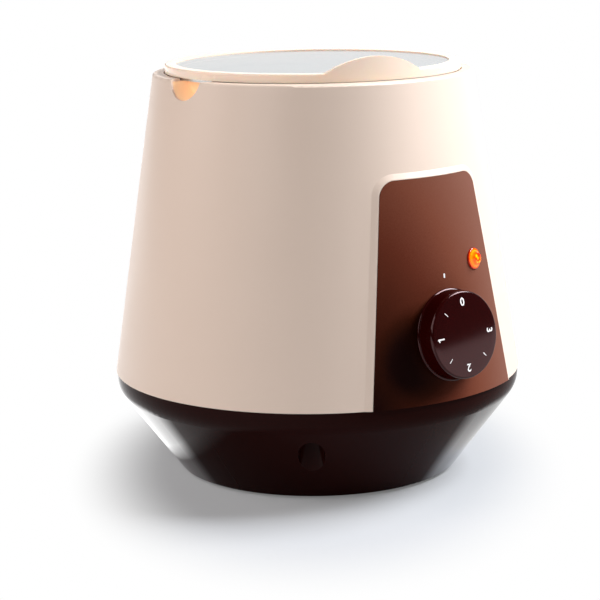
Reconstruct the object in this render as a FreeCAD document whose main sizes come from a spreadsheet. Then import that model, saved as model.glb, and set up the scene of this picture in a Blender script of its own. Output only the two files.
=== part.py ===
import FreeCAD, Part
import math
import operator
import os

import Sketcher
from FreeCAD import Vector

# Chocolate melter: a conical housing on a dark bowl-shaped base, with a lift-out pot, a lid
# and a thermostat knob. Millimetres, +Z up, the origin on the table under the middle,
# the control panel faces -Y.

doc = FreeCAD.newDocument("chocolate_melter")

# Driving sizes. An azimuth is an angle about the vertical axis, 0 at the control panel and
# positive towards +X.
DRIVING = [
    ("seam_height", 57.5, "height of the seam above the table"),
    ("housing_height", 168.2, "height of the housing's flat rim above the seam"),
    ("housing_flare", 25.8, "how much wider the housing is at the seam than at the rim"),
    ("housing_wall", 2.6, "housing, wall"),
    ("rim_round", 1.6, "rounding of the rim's outer edge"),
    ("ledge_depth", 1.1, "step from the rim down to the ledge that carries the pot"),
    ("rim_width", 6.0, "width of the flat rim outside that step"),
    ("lid_clearance", 0.8, "gap between the lid and the step in the rim"),
    ("ledge_thickness", 2.6, "thickness of the ledge"),
    ("pot_clearance", 2.2, "gap between the pot and the opening that it drops through"),
    ("collar_step", 3.0, "how far the collar stands back from that opening"),
    ("collar_wall", 2.0, "collar, wall"),
    ("collar_length", 16.0, "collar, length under the ledge"),
    ("scoop_radius", 13.3, "finger scoop, radius"),
    ("scoop_rise", 2.9, "height of the scoop's axis above the rim"),
    ("scoop_reach", 5.0, "how far the scoop reaches under the pot's flange"),
    ("panel_low_half", 49.8, "control panel, half its width at the seam"),
    ("panel_top_half", 32.7, "control panel, half its width at its top"),
    ("panel_height", 117.8, "height of the panel's top edge above the seam"),
    ("panel_corner", 9.5, "panel, radius of its upper corners"),
    ("panel_thickness", 0.8, "panel, thickness"),
    ("panel_clearance", 0.15, "gap round the panel"),
    ("glue_gap", 0.1, "gap behind the panel"),
    ("plinth_rise", 1.0, "raised field that carries the panel"),
    ("plinth_ramp", 3.0, "width of the ramp up to the raised field"),
    ("ramp_overrun", 0.05, "how much further than the raised field's height that ramp is cut"),
    ("plinth_lip", 0.4, "strip of the raised field beside the panel"),
    ("panel_recess", 0.6, "depth of the recess for the panel"),
    ("base_step", 0.4, "how much smaller in radius the base's upright band is than the housing"),
    ("band_height", 8.1, "height of that band"),
    ("knee_round", 16.0, "rounding of that turn"),
    ("foot_clearance", 1.5, "height of the base's bottom ring"),
    ("base_flare", 35.4, "how much wider in radius the band is than the bottom ring"),
    ("bottom_round", 2.2, "rounding of the bottom ring's outer edge"),
    ("ring_width", 7.2, "width of the bottom ring"),
    ("ring_depth", 2.0, "depth of the floor inside the bottom ring"),
    ("floor_thickness", 2.8, "base, floor"),
    ("base_wall", 2.8, "base, wall"),
    ("tongue_wall", 1.5, "base, locating tongue inside the housing"),
    ("tongue_rise", 4.0, "height of the tongue above the seam"),
    ("tongue_clearance", 0.5, "gap between the tongue and the housing"),
    ("screw_inset", 14.3, "distance of the four base screws from the band"),
    ("screw_azimuth", 41.8, "azimuth of the first base screw"),
    ("pocket_radius", 7.3, "radius of a screw pocket in the base"),
    ("pocket_wall", 2.0, "wall round a screw pocket"),
    ("pocket_drop", 10.5, "distance of a screw pocket's ceiling under the seam"),
    ("pocket_ceiling", 2.5, "thickness of that ceiling"),
    ("boss_radius", 4.5, "housing, screw boss"),
    ("boss_length", 28.5, "housing, length of a screw boss"),
    ("boss_rib", 2.0, "thickness of the rib that ties a boss to the housing"),
    ("screw_shank", 1.9, "screws, radius of the shank"),
    ("screw_head", 3.5, "screws, radius of the head"),
    ("screw_head_height", 2.2, "screws, height of the head"),
    ("screw_head_round", 0.9, "screws, rounding of the head's upper edge"),
    ("screw_clearance", 0.3, "gap round a shank in a through hole"),
    ("pilot_clearance", 0.1, "gap round a shank in its pilot hole"),
    ("base_screw_length", 20.0, "base screws, length of the shank"),
    ("foot_inset", 12.0, "distance of the four feet from the bottom ring"),
    ("foot_radius", 7.5, "foot, radius"),
    ("foot_socket", 1.5, "depth of a foot's socket"),
    ("foot_fit", 0.2, "gap round a foot in its socket"),
    ("foot_draft", 0.6, "foot, how much narrower it is at the table"),
    ("vent_count", 12, "air slots in the floor"),
    ("vent_inner", 20.0, "distance of a slot's inner end from the axis"),
    ("vent_length", 14.0, "length of a slot"),
    ("vent_width", 3.6, "width of a slot"),
    ("gland_height", 28.0, "height of the cord's entry"),
    ("gland_inset", 8.8, "how far the entry's outer face stands back from the band"),
    ("gland_boss", 9.5, "radius of the boss round the entry"),
    ("gland_length", 14.0, "length of that boss"),
    ("gland_radius", 5.5, "gland, radius of its barrel"),
    ("gland_flange", 7.6, "gland, radius of its flange"),
    ("gland_flange_thickness", 2.0, "gland, thickness of its flange"),
    ("gland_flange_round", 0.8, "gland, rounding of the flange's outer edge"),
    ("gland_fit", 0.15, "gap round the gland's barrel"),
    ("cord_bore", 3.6, "gland, radius of the hole for the cord"),
    ("post_inset", 16.5, "distance of the four posts from the well's wall"),
    ("post_radius", 6.0, "post, radius"),
    ("shield_margin", 6.0, "how far the heat shield reaches past the well"),
    ("shield_thickness", 1.0, "heat shield, thickness"),
    ("shield_lip", 8.0, "heat shield, height of its turned-up edge"),
    ("spacer_length", 15.5, "length of a spacer under the well"),
    ("spacer_radius", 4.5, "spacer, outer radius"),
    ("well_screw_length", 32.0, "well screws, length of the shank"),
    ("well_clearance", 2.7, "gap between the pot and the heating well"),
    ("well_room", 4.0, "gap between the pot's floor and the well's"),
    ("well_wall", 1.5, "heating well, wall"),
    ("well_round", 4.0, "rounding of the well's lower edge"),
    ("seal_height", 2.4, "height of the ring between the well and the ledge"),
    ("seal_overhang", 0.3, "how far the ring reaches past the pot opening and the well"),
    ("heater_gap", 0.3, "gap between the well and the heater band"),
    ("heater_thickness", 2.0, "heater band, thickness"),
    ("heater_rise", 4.0, "height of the heater band's lower edge above the pot's underside"),
    ("heater_height", 40.0, "heater band, height"),
    ("heater_slot", 16.0, "width of the gap between the band's ends"),
    ("sleeve_gap", 0.3, "gap between the heater band and the insulation"),
    ("sleeve_thickness", 6.0, "insulation sleeve, thickness"),
    ("sleeve_overlap", 2.0, "how far the sleeve reaches past the heater band"),
    ("cutout_radius", 8.0, "thermal cut-out, radius"),
    ("cutout_height", 6.0, "thermal cut-out, height"),
    ("cutout_plate", 0.8, "thermal cut-out, thickness of its mounting plate"),
    ("cutout_plate_half", 13.0, "thermal cut-out, half the length of that plate"),
    ("bulb_radius", 2.5, "sensor bulb, radius"),
    ("bulb_length", 58.0, "sensor bulb, length"),
    ("bulb_rise", 8.0, "gap between the insulation and the sensor bulb above it"),
    ("bulb_gap", 0.25, "gap between the bulb and the well"),
    ("clip_width", 14.0, "sensor clip, width"),
    ("clip_height", 12.0, "sensor clip, height"),
    ("clip_wall", 1.2, "sensor clip, wall over the bulb"),
    ("block_width", 34.0, "terminal block, width"),
    ("block_depth", 18.0, "terminal block, depth"),
    ("block_height", 13.0, "terminal block, height"),
    ("block_inset", 12.0, "distance of the terminal block from the bottom ring"),
    ("block_bore", 2.4, "terminal block, radius of a wire barrel"),
    ("block_bore_height", 4.3, "height of the wire barrels above the block's underside"),
    ("block_screw_bore", 1.9, "terminal block, radius of the hole over each barrel"),
    ("block_pitch", 10.0, "terminal block, distance between its barrels"),
    ("knob_rise", 34.3, "height of the knob's axis above the seam, at the housing's skin"),
    ("knob_back", 24.7, "knob, radius of its skirt"),
    ("knob_face", 23.2, "knob, radius of its front face"),
    ("knob_reach", 12.6, "distance of the knob's front face from the housing's skin"),
    ("knob_gap", 0.7, "gap between the knob's skirt and the panel"),
    ("knob_round", 1.5, "rounding of the knob's front edge"),
    ("knob_wall", 2.0, "knob, wall"),
    ("knob_top", 2.2, "knob, thickness of its front"),
    ("hub_radius", 5.5, "knob, radius of its hub"),
    ("hub_setback", 1.0, "how far the hub stays inside the skirt"),
    ("knob_clip_thickness", 0.7, "knob clip, thickness"),
    ("knob_clip_height", 4.0, "knob clip, height"),
    ("shaft_radius", 3.0, "thermostat shaft, radius"),
    ("shaft_flat", 1.5, "distance of the shaft's flat from its axis"),
    ("shaft_running", 0.05, "running gap round the shaft"),
    ("shaft_depth", 10.0, "length of the shaft inside the thermostat"),
    ("shaft_tip_gap", 0.3, "gap between the shaft's tip and the knob"),
    ("shaft_hole", 4.5, "radius of the hole for the shaft in the housing"),
    ("thermostat_depth", 5.5, "distance of the thermostat's face behind the skin"),
    ("thermostat_width", 34.0, "thermostat, width"),
    ("thermostat_height", 28.0, "thermostat, height"),
    ("thermostat_thickness", 17.0, "thermostat, thickness"),
    ("thermostat_round", 3.0, "thermostat, rounding of its corners"),
    ("thermostat_pitch", 28.0, "distance between the thermostat's two screws"),
    ("thermostat_screw_length", 12.0, "thermostat screws, length of the shank"),
    ("seat_width", 40.0, "seat of the thermostat in the housing, width"),
    ("seat_height", 16.0, "seat of the thermostat in the housing, height"),
    ("seat_cover", 2.0, "depth of the seat's root under the skin"),
    ("tab_length", 8.0, "thermostat terminal, length"),
    ("tab_width", 6.3, "thermostat terminal, width"),
    ("tab_thickness", 0.8, "thermostat terminal, thickness"),
    ("tab_depth", 12.8, "distance of the terminals behind the thermostat's face"),
    ("lamp_rise", 36.6, "height of the pilot lamp above the knob's axis"),
    ("lamp_azimuth", 13.8, "azimuth of the pilot lamp"),
    ("lamp_radius", 5.75, "pilot lens, radius of its flange"),
    ("lamp_flange", 1.0, "pilot lens, thickness of its flange"),
    ("lamp_dome", 2.3, "pilot lens, height of the cut dome"),
    ("lamp_dome_foot", 4.7, "pilot lens, radius of the dome's foot"),
    ("lamp_dome_top", 2.6, "pilot lens, radius of the dome's flat top"),
    ("lamp_facets", 12, "pilot lens, sides of the cut dome"),
    ("lamp_spigot", 3.6, "pilot lens, radius of its spigot"),
    ("lamp_spigot_length", 3.0, "pilot lens, length of its spigot"),
    ("lamp_barrel", 4.7, "pilot lamp body, radius"),
    ("lamp_body_length", 18.0, "pilot lamp body, length"),
    ("lamp_fit", 0.2, "gap round the lamp's barrel and the lens's spigot"),
    ("nut_radius", 7.2, "retaining ring of the lamp, radius"),
    ("nut_thickness", 1.6, "retaining ring of the lamp, thickness"),
    ("pot_radius", 68.0, "pot, inner radius"),
    ("pot_wall", 0.8, "pot, wall"),
    ("pot_depth", 140.6, "pot, from the underside of its flange to the underside of its floor"),
    ("pot_round", 10.0, "rounding between the pot's wall and floor"),
    ("flange_width", 14.0, "pot, width of its flange"),
    ("flange_thickness", 1.4, "pot, thickness of its flange"),
    ("bead_width", 1.6, "bead on the flange that centres the lid, width"),
    ("bead_height", 0.6, "bead, height"),
    ("bead_fit", 0.3, "gap between the bead and the lid's band"),
    ("lid_overhang", 0.4, "how far the lid reaches past the flange"),
    ("lid_height", 4.6, "lid, height of its band"),
    ("lid_wall", 2.2, "lid, wall of its band"),
    ("lid_skirt", 0.8, "depth of the hollow under the lid's ring"),
    ("lid_round", 0.7, "rounding of the lid's upper edge"),
    ("lid_ring", 6.4, "lid, width of its ring outside the window"),
    ("window_ledge", 3.5, "lid, width of the ledge that carries the window"),
    ("window_thickness", 2.0, "lid window, thickness"),
    ("window_setback", 0.6, "how far the window lies under the lid's ring"),
    ("window_fit", 0.3, "gap round the window"),
    ("grip_width", 54.8, "lid grip, width along the ring's top"),
    ("grip_rise", 8.3, "lid grip, height above the ring's top"),
    ("grip_wall", 2.5, "lid grip, thickness"),
    ("grip_azimuth", -15.8, "azimuth of the lid grip at rest"),
    ("overcut", 1.0, "how far a cutting form reaches past what it cuts"),
]

sheet = doc.addObject("Spreadsheet::Sheet", "Sizes")
for line, (alias, number, note) in enumerate(DRIVING, start=1):
    sheet.set(f"A{line}", note)
    sheet.set(f"B{line}", str(number))
    sheet.setAlias(f"B{line}", alias)
doc.recompute()

worked = doc.addObject("App::VarSet", "Worked")


class Size:
    """A length or an angle, known both as a number and as a formula on the sheet."""

    def __init__(self, number, formula):
        self.number = float(number)
        self.formula = formula

    def __add__(self, other):
        return joined(self, "+", other)

    def __radd__(self, other):
        return joined(other, "+", self)

    def __sub__(self, other):
        return joined(self, "-", other)

    def __rsub__(self, other):
        return joined(other, "-", self)

    def __mul__(self, other):
        return joined(self, "*", other)

    def __rmul__(self, other):
        return joined(other, "*", self)

    def __truediv__(self, other):
        return joined(self, "/", other)

    def __neg__(self):
        return joined(-1, "*", self)


SIGNS = {"+": operator.add, "-": operator.sub, "*": operator.mul, "/": operator.truediv}


def sized(value):
    """The value as a Size."""
    return value if isinstance(value, Size) else Size(value, str(value))


def joined(left, sign, right):
    """Two sizes joined by a sign, in numbers and in words."""
    left = sized(left)
    right = sized(right)
    return Size(SIGNS[sign](left.number, right.number), f"({left.formula} {sign} {right.formula})")


def sine(angle):
    return Size(math.sin(math.radians(angle.number)), f"sin({angle.formula})")


def cosine(angle):
    return Size(math.cos(math.radians(angle.number)), f"cos({angle.formula})")


def root(value):
    return Size(math.sqrt(value.number), f"sqrt({value.formula})")


def slope_angle(value):
    return Size(math.degrees(math.atan(value.number)), f"(atan({value.formula}) / 1 deg)")


def named(name, value):
    """Keeps a worked-out size in the document under its own name."""
    worked.addProperty("App::PropertyFloat", name)
    worked.setExpression(name, value.formula)
    return Size(value.number, f"Worked.{name}")


class Sheet:
    """The driving sizes by name."""

    def __init__(self):
        for alias, number, note in DRIVING:
            setattr(self, alias, Size(sheet.get(alias), f"Sizes.{alias}"))


size = Sheet()


def follow(name, value):
    """Adds a worked-out size beside the driving ones."""
    setattr(size, name, named(name, value))


# Radii, from the pot outwards: the opening and the well clear the pot, the flange carries the
# lid, the rim goes round the lid, and the base follows the housing.
pot_outer = named("pot_outer", size.pot_radius + size.pot_wall)
follow("pot_opening", pot_outer + size.pot_clearance)
follow("collar_radius", size.pot_opening + size.collar_step)
follow("well_radius", pot_outer + size.well_clearance)
follow("flange_radius", size.pot_radius + size.flange_width)
follow("lid_radius", size.flange_radius + size.lid_overhang)
follow("recess_radius", size.lid_radius + size.lid_clearance)
follow("top_radius", size.recess_radius + size.rim_width)
follow("seam_radius", size.top_radius + size.housing_flare)
follow("scoop_end", size.flange_radius - size.scoop_reach)
follow("window_opening", size.lid_radius - size.lid_ring)
follow("base_radius", size.seam_radius - size.base_step)
follow("bottom_radius", size.base_radius - size.base_flare)
follow("ring_inner", size.bottom_radius - size.ring_width)
follow("screw_circle", size.base_radius - size.screw_inset)
follow("foot_circle", size.ring_inner - size.foot_inset)
follow("block_offset", size.ring_inner - size.block_inset)
follow("gland_face", size.base_radius - size.gland_inset)
follow("post_circle", size.well_radius - size.post_inset)

# Heights: what the housing carries goes up from the seam, and the pot, the well and the posts
# under it hang down from the ledge in the rim.
follow("rim_height", size.seam_height + size.housing_height)
follow("knee_height", size.seam_height - size.band_height)
follow("pocket_top", size.seam_height - size.pocket_drop)
follow("panel_top", size.seam_height + size.panel_height)
follow("knob_height", size.seam_height + size.knob_rise)
follow("lamp_height", size.knob_height + size.lamp_rise)
ledge_height = named("ledge_height", size.rim_height - size.ledge_depth)
ledge_under = named("ledge_under", ledge_height - size.ledge_thickness)
follow("pot_bottom", ledge_height - size.pot_depth)
well_floor = named("well_floor", size.pot_bottom - size.well_room)
well_under = named("well_under", well_floor - size.well_wall)
shield_top = named("shield_top", well_under - size.spacer_length)
follow("post_top", shield_top - size.shield_thickness)
follow("heater_low", size.pot_bottom + size.heater_rise)
sleeve_low = named("sleeve_low", size.heater_low - size.sleeve_overlap)
sleeve_high = named("sleeve_high", size.heater_low + size.heater_height + size.sleeve_overlap)
follow("bulb_low", sleeve_high + size.bulb_rise)

taper = named("taper", size.housing_flare / size.housing_height)
lean = named("lean", slope_angle(taper))
outward = named("outward", cosine(lean))
upward = named("upward", sine(lean))


def skin(height):
    """Outer radius of the housing's cone at a height."""
    return size.seam_radius - (height - size.seam_height) * taper


# Helpers that make the document's objects.


# Two places nearer than this, in millimetres, are the same.
SAME_PLACE = 0.01


def bind(item, **properties):
    """Ties properties of an object to formulas."""
    for key, value in properties.items():
        item.setExpression(key, sized(value).formula)
    return item


def seat(item, across=0, along=0, up=0, yaw=0, roll=0):
    """Puts an object at a place, rolled about X and then turned about Z."""
    across, along, up, yaw, roll = (sized(v).formula for v in (across, along, up, yaw, roll))
    item.setExpression(
        "Placement",
        f"placement(vector({across}; {along}; {up}); rotation({yaw}; 0; {roll}))",
    )
    return item


def around(item, circle, azimuth, up=0, roll=0):
    """Puts an object on a circle about the axis, turned to face outwards."""
    return seat(item, circle * sine(azimuth), -(circle * cosine(azimuth)), up, azimuth, roll)


def on_skin(item, height, azimuth, out):
    """Puts an object on the housing, its own Z pointing straight out of the cone."""
    circle = skin(height) + sized(out) * outward
    return around(item, circle, azimuth, height + sized(out) * upward, 90 - lean)


def cylinder(name, radius, length):
    return bind(doc.addObject("Part::Cylinder", name), Radius=radius, Height=length)


def cone(name, low_radius, high_radius, length):
    item = doc.addObject("Part::Cone", name)
    return bind(item, Radius1=low_radius, Radius2=high_radius, Height=length)


def fused(name, *items):
    item = doc.addObject("Part::MultiFuse", name)
    item.Shapes = list(items)
    return item


def cut(name, base, *tools):
    item = doc.addObject("Part::Cut", name)
    item.Base = base
    item.Tool = tools[0] if len(tools) == 1 else fused(name + "_tools", *tools)
    return item


def common(name, base, tool):
    item = doc.addObject("Part::Common", name)
    item.Base = base
    item.Tool = tool
    return item


def group(name, *items):
    item = doc.addObject("Part::Compound", name)
    item.Links = list(items)
    return item


def drawn(body, name, plane, corners):
    """A closed sketch of straight lines on one of the body's own planes."""
    sketch = body.newObject("Sketcher::SketchObject", name)
    origin = [f for f in body.Origin.OriginFeatures if f.Role == plane][0]
    sketch.AttachmentSupport = [(origin, "")]
    sketch.MapMode = "FlatFace"
    corners = [(sized(across), sized(up)) for across, up in corners]
    spots = [Vector(across.number, up.number, 0) for across, up in corners]
    count = len(spots)
    for i in range(count):
        sketch.addGeometry(Part.LineSegment(spots[i], spots[(i + 1) % count]))
    for i in range(count):
        sketch.addConstraint(Sketcher.Constraint("Coincident", i, 2, (i + 1) % count, 1))
    for i, (across, up) in enumerate(corners):
        for kind, value in (("DistanceX", across), ("DistanceY", up)):
            place = sketch.addConstraint(Sketcher.Constraint(kind, -1, 1, i, 1, value.number))
            sketch.setExpression(f"Constraints[{place}]", value.formula)
    return sketch


def turned(name, corners):
    """A body turned about its own Z axis from an outline of (radius, height) corners."""
    body = doc.addObject("PartDesign::Body", name)
    sketch = drawn(body, name + "_outline", "XZ_Plane", corners)
    feature = body.newObject("PartDesign::Revolution", name + "_turned")
    feature.Profile = sketch
    feature.ReferenceAxis = (sketch, ["V_Axis"])
    feature.Angle = 360
    sketch.Visibility = False
    return body


def rounded(body, name, radius, rings):
    """Rounds the circular edges of a turned body that lie at the given (radius, height)."""
    doc.recompute()
    feature = body.Tip
    edges = []
    for index, edge in enumerate(feature.Shape.Edges, start=1):
        if not isinstance(edge.Curve, Part.Circle):
            continue
        for ring_radius, height in rings:
            off = abs(edge.Curve.Radius - sized(ring_radius).number)
            off = off + abs(edge.Curve.Center.z - sized(height).number)
            if off < SAME_PLACE:
                edges.append(f"Edge{index}")
    fillet = body.newObject("PartDesign::Fillet", name)
    fillet.Base = (feature, edges)
    return bind(fillet, Radius=radius)


def raised(name, plane, corners, length):
    """A body padded from an outline."""
    body = doc.addObject("PartDesign::Body", name)
    sketch = drawn(body, name + "_outline", plane, corners)
    feature = body.newObject("PartDesign::Pad", name + "_pad")
    feature.Profile = sketch
    bind(feature, Length=length)
    sketch.Visibility = False
    return body


def rounded_uprights(body, name, radius, wanted):
    """Rounds the straight edges of a body whose middle the test accepts."""
    doc.recompute()
    feature = body.Tip
    edges = []
    for index, edge in enumerate(feature.Shape.Edges, start=1):
        if isinstance(edge.Curve, Part.Line) and wanted(edge):
            edges.append(f"Edge{index}")
    fillet = body.newObject("PartDesign::Fillet", name)
    fillet.Base = (feature, edges)
    return bind(fillet, Radius=radius)


def rectangle(width, depth):
    """Corners of a rectangle about the origin."""
    x = sized(width) / 2
    y = sized(depth) / 2
    return [(-x, -y), (x, -y), (x, y), (-x, y)]


def block(name, width, depth, height):
    """A block standing on its own XY plane, centred on its Z axis."""
    return raised(name, "XY_Plane", rectangle(width, depth), height)


def tube(name, outer, inner, length):
    """A plain tube standing on its own XY plane."""
    return turned(name, [(inner, 0), (outer, 0), (outer, length), (inner, length)])


def screw(name, length):
    """A pan-head screw, the head's underside at its origin and the shank down its -Z."""
    body = turned(
        name,
        [
            (0, -length),
            (size.screw_shank, -length),
            (size.screw_shank, 0),
            (size.screw_head, 0),
            (size.screw_head, size.screw_head_height),
            (0, size.screw_head_height),
        ],
    )
    head_edge = (size.screw_head, size.screw_head_height)
    rounded(body, name + "_round", size.screw_head_round, [head_edge])
    return body


nodes = []


def node(item, name):
    """Marks an object as a sub-part with a name of its own."""
    item.Label = name
    nodes.append((name, item))
    return item


QUARTERS = [
    size.screw_azimuth,
    180 - size.screw_azimuth,
    size.screw_azimuth - 180,
    -size.screw_azimuth,
]
DIAGONALS = [sized(angle) for angle in (45, 135, -135, -45)]
FRONT = sized(0)
BACK = sized(180)

skin_out = named("skin_out", size.plinth_rise - size.panel_recess)
panel_under = named("panel_under", skin_out + size.glue_gap)
panel_outer = named("panel_outer", panel_under + size.panel_thickness)
knob_azimuth = FRONT

# What cuts right through reaches past both ends.
both_ends = named("both_ends", 2 * size.overcut)


# Housing: one moulding with a flat rim, a ledge and collar for the pot, two finger scoops,
# a raised field for the panel, a seat for the thermostat and four screw bosses.


def skin_ring(name, low, high, bottom, top):
    """A ring that follows the housing's cone, from low to high outside its skin."""
    length = top - bottom
    outer = cone(name + "_outer", skin(bottom) + high, skin(top) + high, length)
    inner = cone(name + "_inner", skin(bottom) + low, skin(top) + low, length)
    seat(outer, up=bottom)
    seat(inner, up=bottom)
    return cut(name, outer, inner)


def panel_prism(name, margin, bottom):
    """A block with the panel's outline, wider by the margin, that reaches out along -Y."""
    side = (size.panel_low_half - size.panel_top_half) / (size.panel_top - size.seam_height)
    top = size.panel_top + margin
    low_half = size.panel_low_half - (bottom - size.seam_height) * side + margin
    high_half = size.panel_low_half - (top - size.seam_height) * side + margin
    corners = [(-low_half, bottom), (low_half, bottom), (high_half, top), (-high_half, top)]
    body = raised(name, "XZ_Plane", corners, size.seam_radius + 2 * size.panel_corner)
    height = top.number

    def upper_corner(edge):
        low, high = (vertex.Point for vertex in edge.Vertexes)
        return abs(low.z - height) < SAME_PLACE and abs(low.x - high.x) < SAME_PLACE

    rounded_uprights(body, name + "_corners", size.panel_corner + margin, upper_corner)
    return body


def make_plinth():
    """The raised field, with its ramp on the sides and over the top."""
    margin = size.plinth_lip + size.plinth_ramp
    root_depth = size.plinth_ramp
    over_panel = size.panel_top + 2 * margin
    ring = skin_ring(
        "plinth_ring", -root_depth / 2, size.plinth_rise, size.seam_height, over_panel
    )
    outline = panel_prism("plinth_outline", margin, size.seam_height - margin)
    patch = common("plinth_patch", ring, outline)
    doc.recompute()
    faces = [f for f in patch.Shape.Faces if isinstance(f.Surface, Part.Cone)]
    outer_face = min(faces, key=lambda f: f.CenterOfMass.y)
    low = size.seam_height.number + SAME_PLACE
    rim = [e for e in outer_face.Edges if e.CenterOfMass.z > low]
    ramp_height = size.plinth_rise + size.ramp_overrun
    chosen = []
    for index, edge in enumerate(patch.Shape.Edges, start=1):
        if any(edge.isSame(other) for other in rim):
            chosen.append((index, size.plinth_ramp.number, ramp_height.number))
    ramp = doc.addObject("Part::Chamfer", "plinth_ramp_cut")
    ramp.Base = patch
    ramp.Edges = chosen
    return ramp


def make_scoop(name, side):
    """The half-round trough of one finger scoop, and the cutter that hollows it."""
    axis_height = size.rim_height + size.scoop_rise
    trough = cylinder(
        name + "_trough", size.scoop_radius + size.housing_wall, size.seam_radius - size.pot_opening
    )
    around(trough, size.pot_opening, side, axis_height, 90)
    hollow = cylinder(name + "_hollow", size.scoop_radius, size.seam_radius - size.scoop_end)
    around(hollow, size.scoop_end, side, axis_height, 90)
    return trough, hollow


def make_boss(name, azimuth):
    """A screw boss with its rib, and its pilot hole."""
    foot = size.pocket_top + size.pocket_ceiling
    boss = cylinder(name, size.boss_radius, size.boss_length)
    around(boss, size.screw_circle, azimuth, foot)
    reach = size.seam_radius - size.screw_circle
    rib_foot = size.seam_height + size.tongue_rise + size.tongue_clearance
    rib = block(name + "_rib", size.boss_rib, reach, foot + size.boss_length - rib_foot)
    around(rib, size.screw_circle + reach / 2, azimuth, rib_foot)
    pilot = cylinder(
        name + "_pilot", size.screw_shank + size.pilot_clearance, size.base_screw_length + 2
    )
    around(pilot, size.screw_circle, azimuth, foot - size.overcut)
    return boss, rib, pilot


def shaft_and_screw_holes(prefix, shaft_radius, screw_radius):
    """Cutters for the shaft and the thermostat's two screws."""
    length = 2 * size.thermostat_depth
    tools = [cylinder(prefix + "_shaft_hole", shaft_radius, length)]
    on_skin(tools[0], size.knob_height, knob_azimuth, -size.thermostat_depth - size.overcut)
    for name, side in (("left", -1), ("right", 1)):
        hole = cylinder(f"{prefix}_{name}_screw_hole", screw_radius, length)
        beside(hole, side * size.thermostat_pitch / 2, 0, -size.thermostat_depth - size.overcut)
        tools.append(hole)
    return tools


def beside(item, across, up, out):
    """Puts an object in the knob's frame, moved across, up the panel and out of it."""
    up = sized(up)
    out = sized(out)
    along = -(skin(size.knob_height) + out * outward - up * upward)
    height = size.knob_height + out * upward + up * outward
    return seat(item, across, along, height, 0, 90 - lean)


def make_housing():
    shell = turned(
        "housing_shell",
        [
            (size.seam_radius, size.seam_height),
            (size.top_radius, size.rim_height),
            (size.pot_opening, size.rim_height),
            (size.pot_opening, ledge_under),
            (size.collar_radius, ledge_under),
            (size.collar_radius, ledge_under - size.collar_length),
            (size.collar_radius + size.collar_wall, ledge_under - size.collar_length),
            (size.collar_radius + size.collar_wall, ledge_under),
            (skin(ledge_under) - size.housing_wall, ledge_under),
            (size.seam_radius - size.housing_wall, size.seam_height),
        ],
    )
    rounded(shell, "rim_edge", size.rim_round, [(size.top_radius, size.rim_height)])
    core = cone(
        "inside_of_skin",
        size.seam_radius - size.housing_wall / 2 + size.tongue_rise * taper,
        size.top_radius - size.housing_wall / 2,
        size.rim_height - size.seam_height + size.tongue_rise,
    )
    seat(core, up=size.seam_height - size.tongue_rise)
    left_trough, left_hollow = make_scoop("left_scoop", sized(-90))
    right_trough, right_hollow = make_scoop("right_scoop", sized(90))
    inner = [left_trough, right_trough]
    bosses = []
    hollows = [left_hollow, right_hollow]
    for index, azimuth in enumerate(QUARTERS, start=1):
        boss, rib, pilot = make_boss(f"screw_boss_{index}", azimuth)
        bosses.append(boss)
        inner.append(rib)
        hollows.append(pilot)
    trimmed = common("trimmed_to_skin", fused("inner_forms", *inner), core)
    thermostat_seat = block(
        "thermostat_seat", size.seat_width, size.seat_height, size.thermostat_depth - size.seat_cover
    )
    on_skin(thermostat_seat, size.knob_height, knob_azimuth, -size.thermostat_depth)
    forms = fused("housing_forms", shell, trimmed, make_plinth(), thermostat_seat, *bosses)

    ledge_room = cylinder("ledge_room", size.recess_radius, size.rim_height)
    seat(ledge_room, up=ledge_height)
    collar_room = cylinder("collar_room", size.collar_radius, size.collar_length * 2)
    seat(collar_room, up=ledge_under - size.collar_length * 2)
    under_seam = size.seam_height - size.overcut
    over_panel = size.panel_top + size.plinth_ramp
    recess = common(
        "panel_recess",
        skin_ring("recess_ring", skin_out, size.plinth_ramp, under_seam, over_panel),
        panel_prism("recess_outline", sized(0), under_seam),
    )
    lamp_room = size.lamp_barrel + size.lamp_fit
    lamp_hole = cylinder("housing_lamp_hole", lamp_room, size.thermostat_depth * 2)
    on_skin(lamp_hole, size.lamp_height, size.lamp_azimuth, -size.thermostat_depth - size.overcut)
    screw_hole = size.screw_shank + size.screw_clearance
    holes = shaft_and_screw_holes("housing", size.shaft_hole, screw_hole)
    opened = cut("opened_housing", forms, ledge_room, collar_room)
    node(cut("housing", opened, recess, lamp_hole, *hollows, *holes), "housing")


def make_panel():
    """The dark panel: a thin curved plate in the recess of the raised field."""
    over_panel = size.panel_top + size.plinth_ramp
    ring = skin_ring("panel_ring", panel_under, panel_outer, size.seam_height, over_panel)
    lower_edge = size.seam_height + size.panel_clearance
    outline = panel_prism("panel_outline", -size.panel_clearance, lower_edge)
    lamp_room = size.lamp_barrel + size.lamp_fit
    lamp_hole = cylinder("panel_lamp_hole", lamp_room, size.thermostat_depth * 2)
    on_skin(lamp_hole, size.lamp_height, size.lamp_azimuth, -size.thermostat_depth)
    screw_hole = size.screw_shank + size.screw_clearance
    holes = shaft_and_screw_holes("panel", size.shaft_hole, screw_hole)
    node(cut("control_panel", common("panel_plate", ring, outline), lamp_hole, *holes), "control_panel")


# Base: a bowl with a bottom ring, four screw pockets, posts for the well and the cord's entry.

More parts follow.
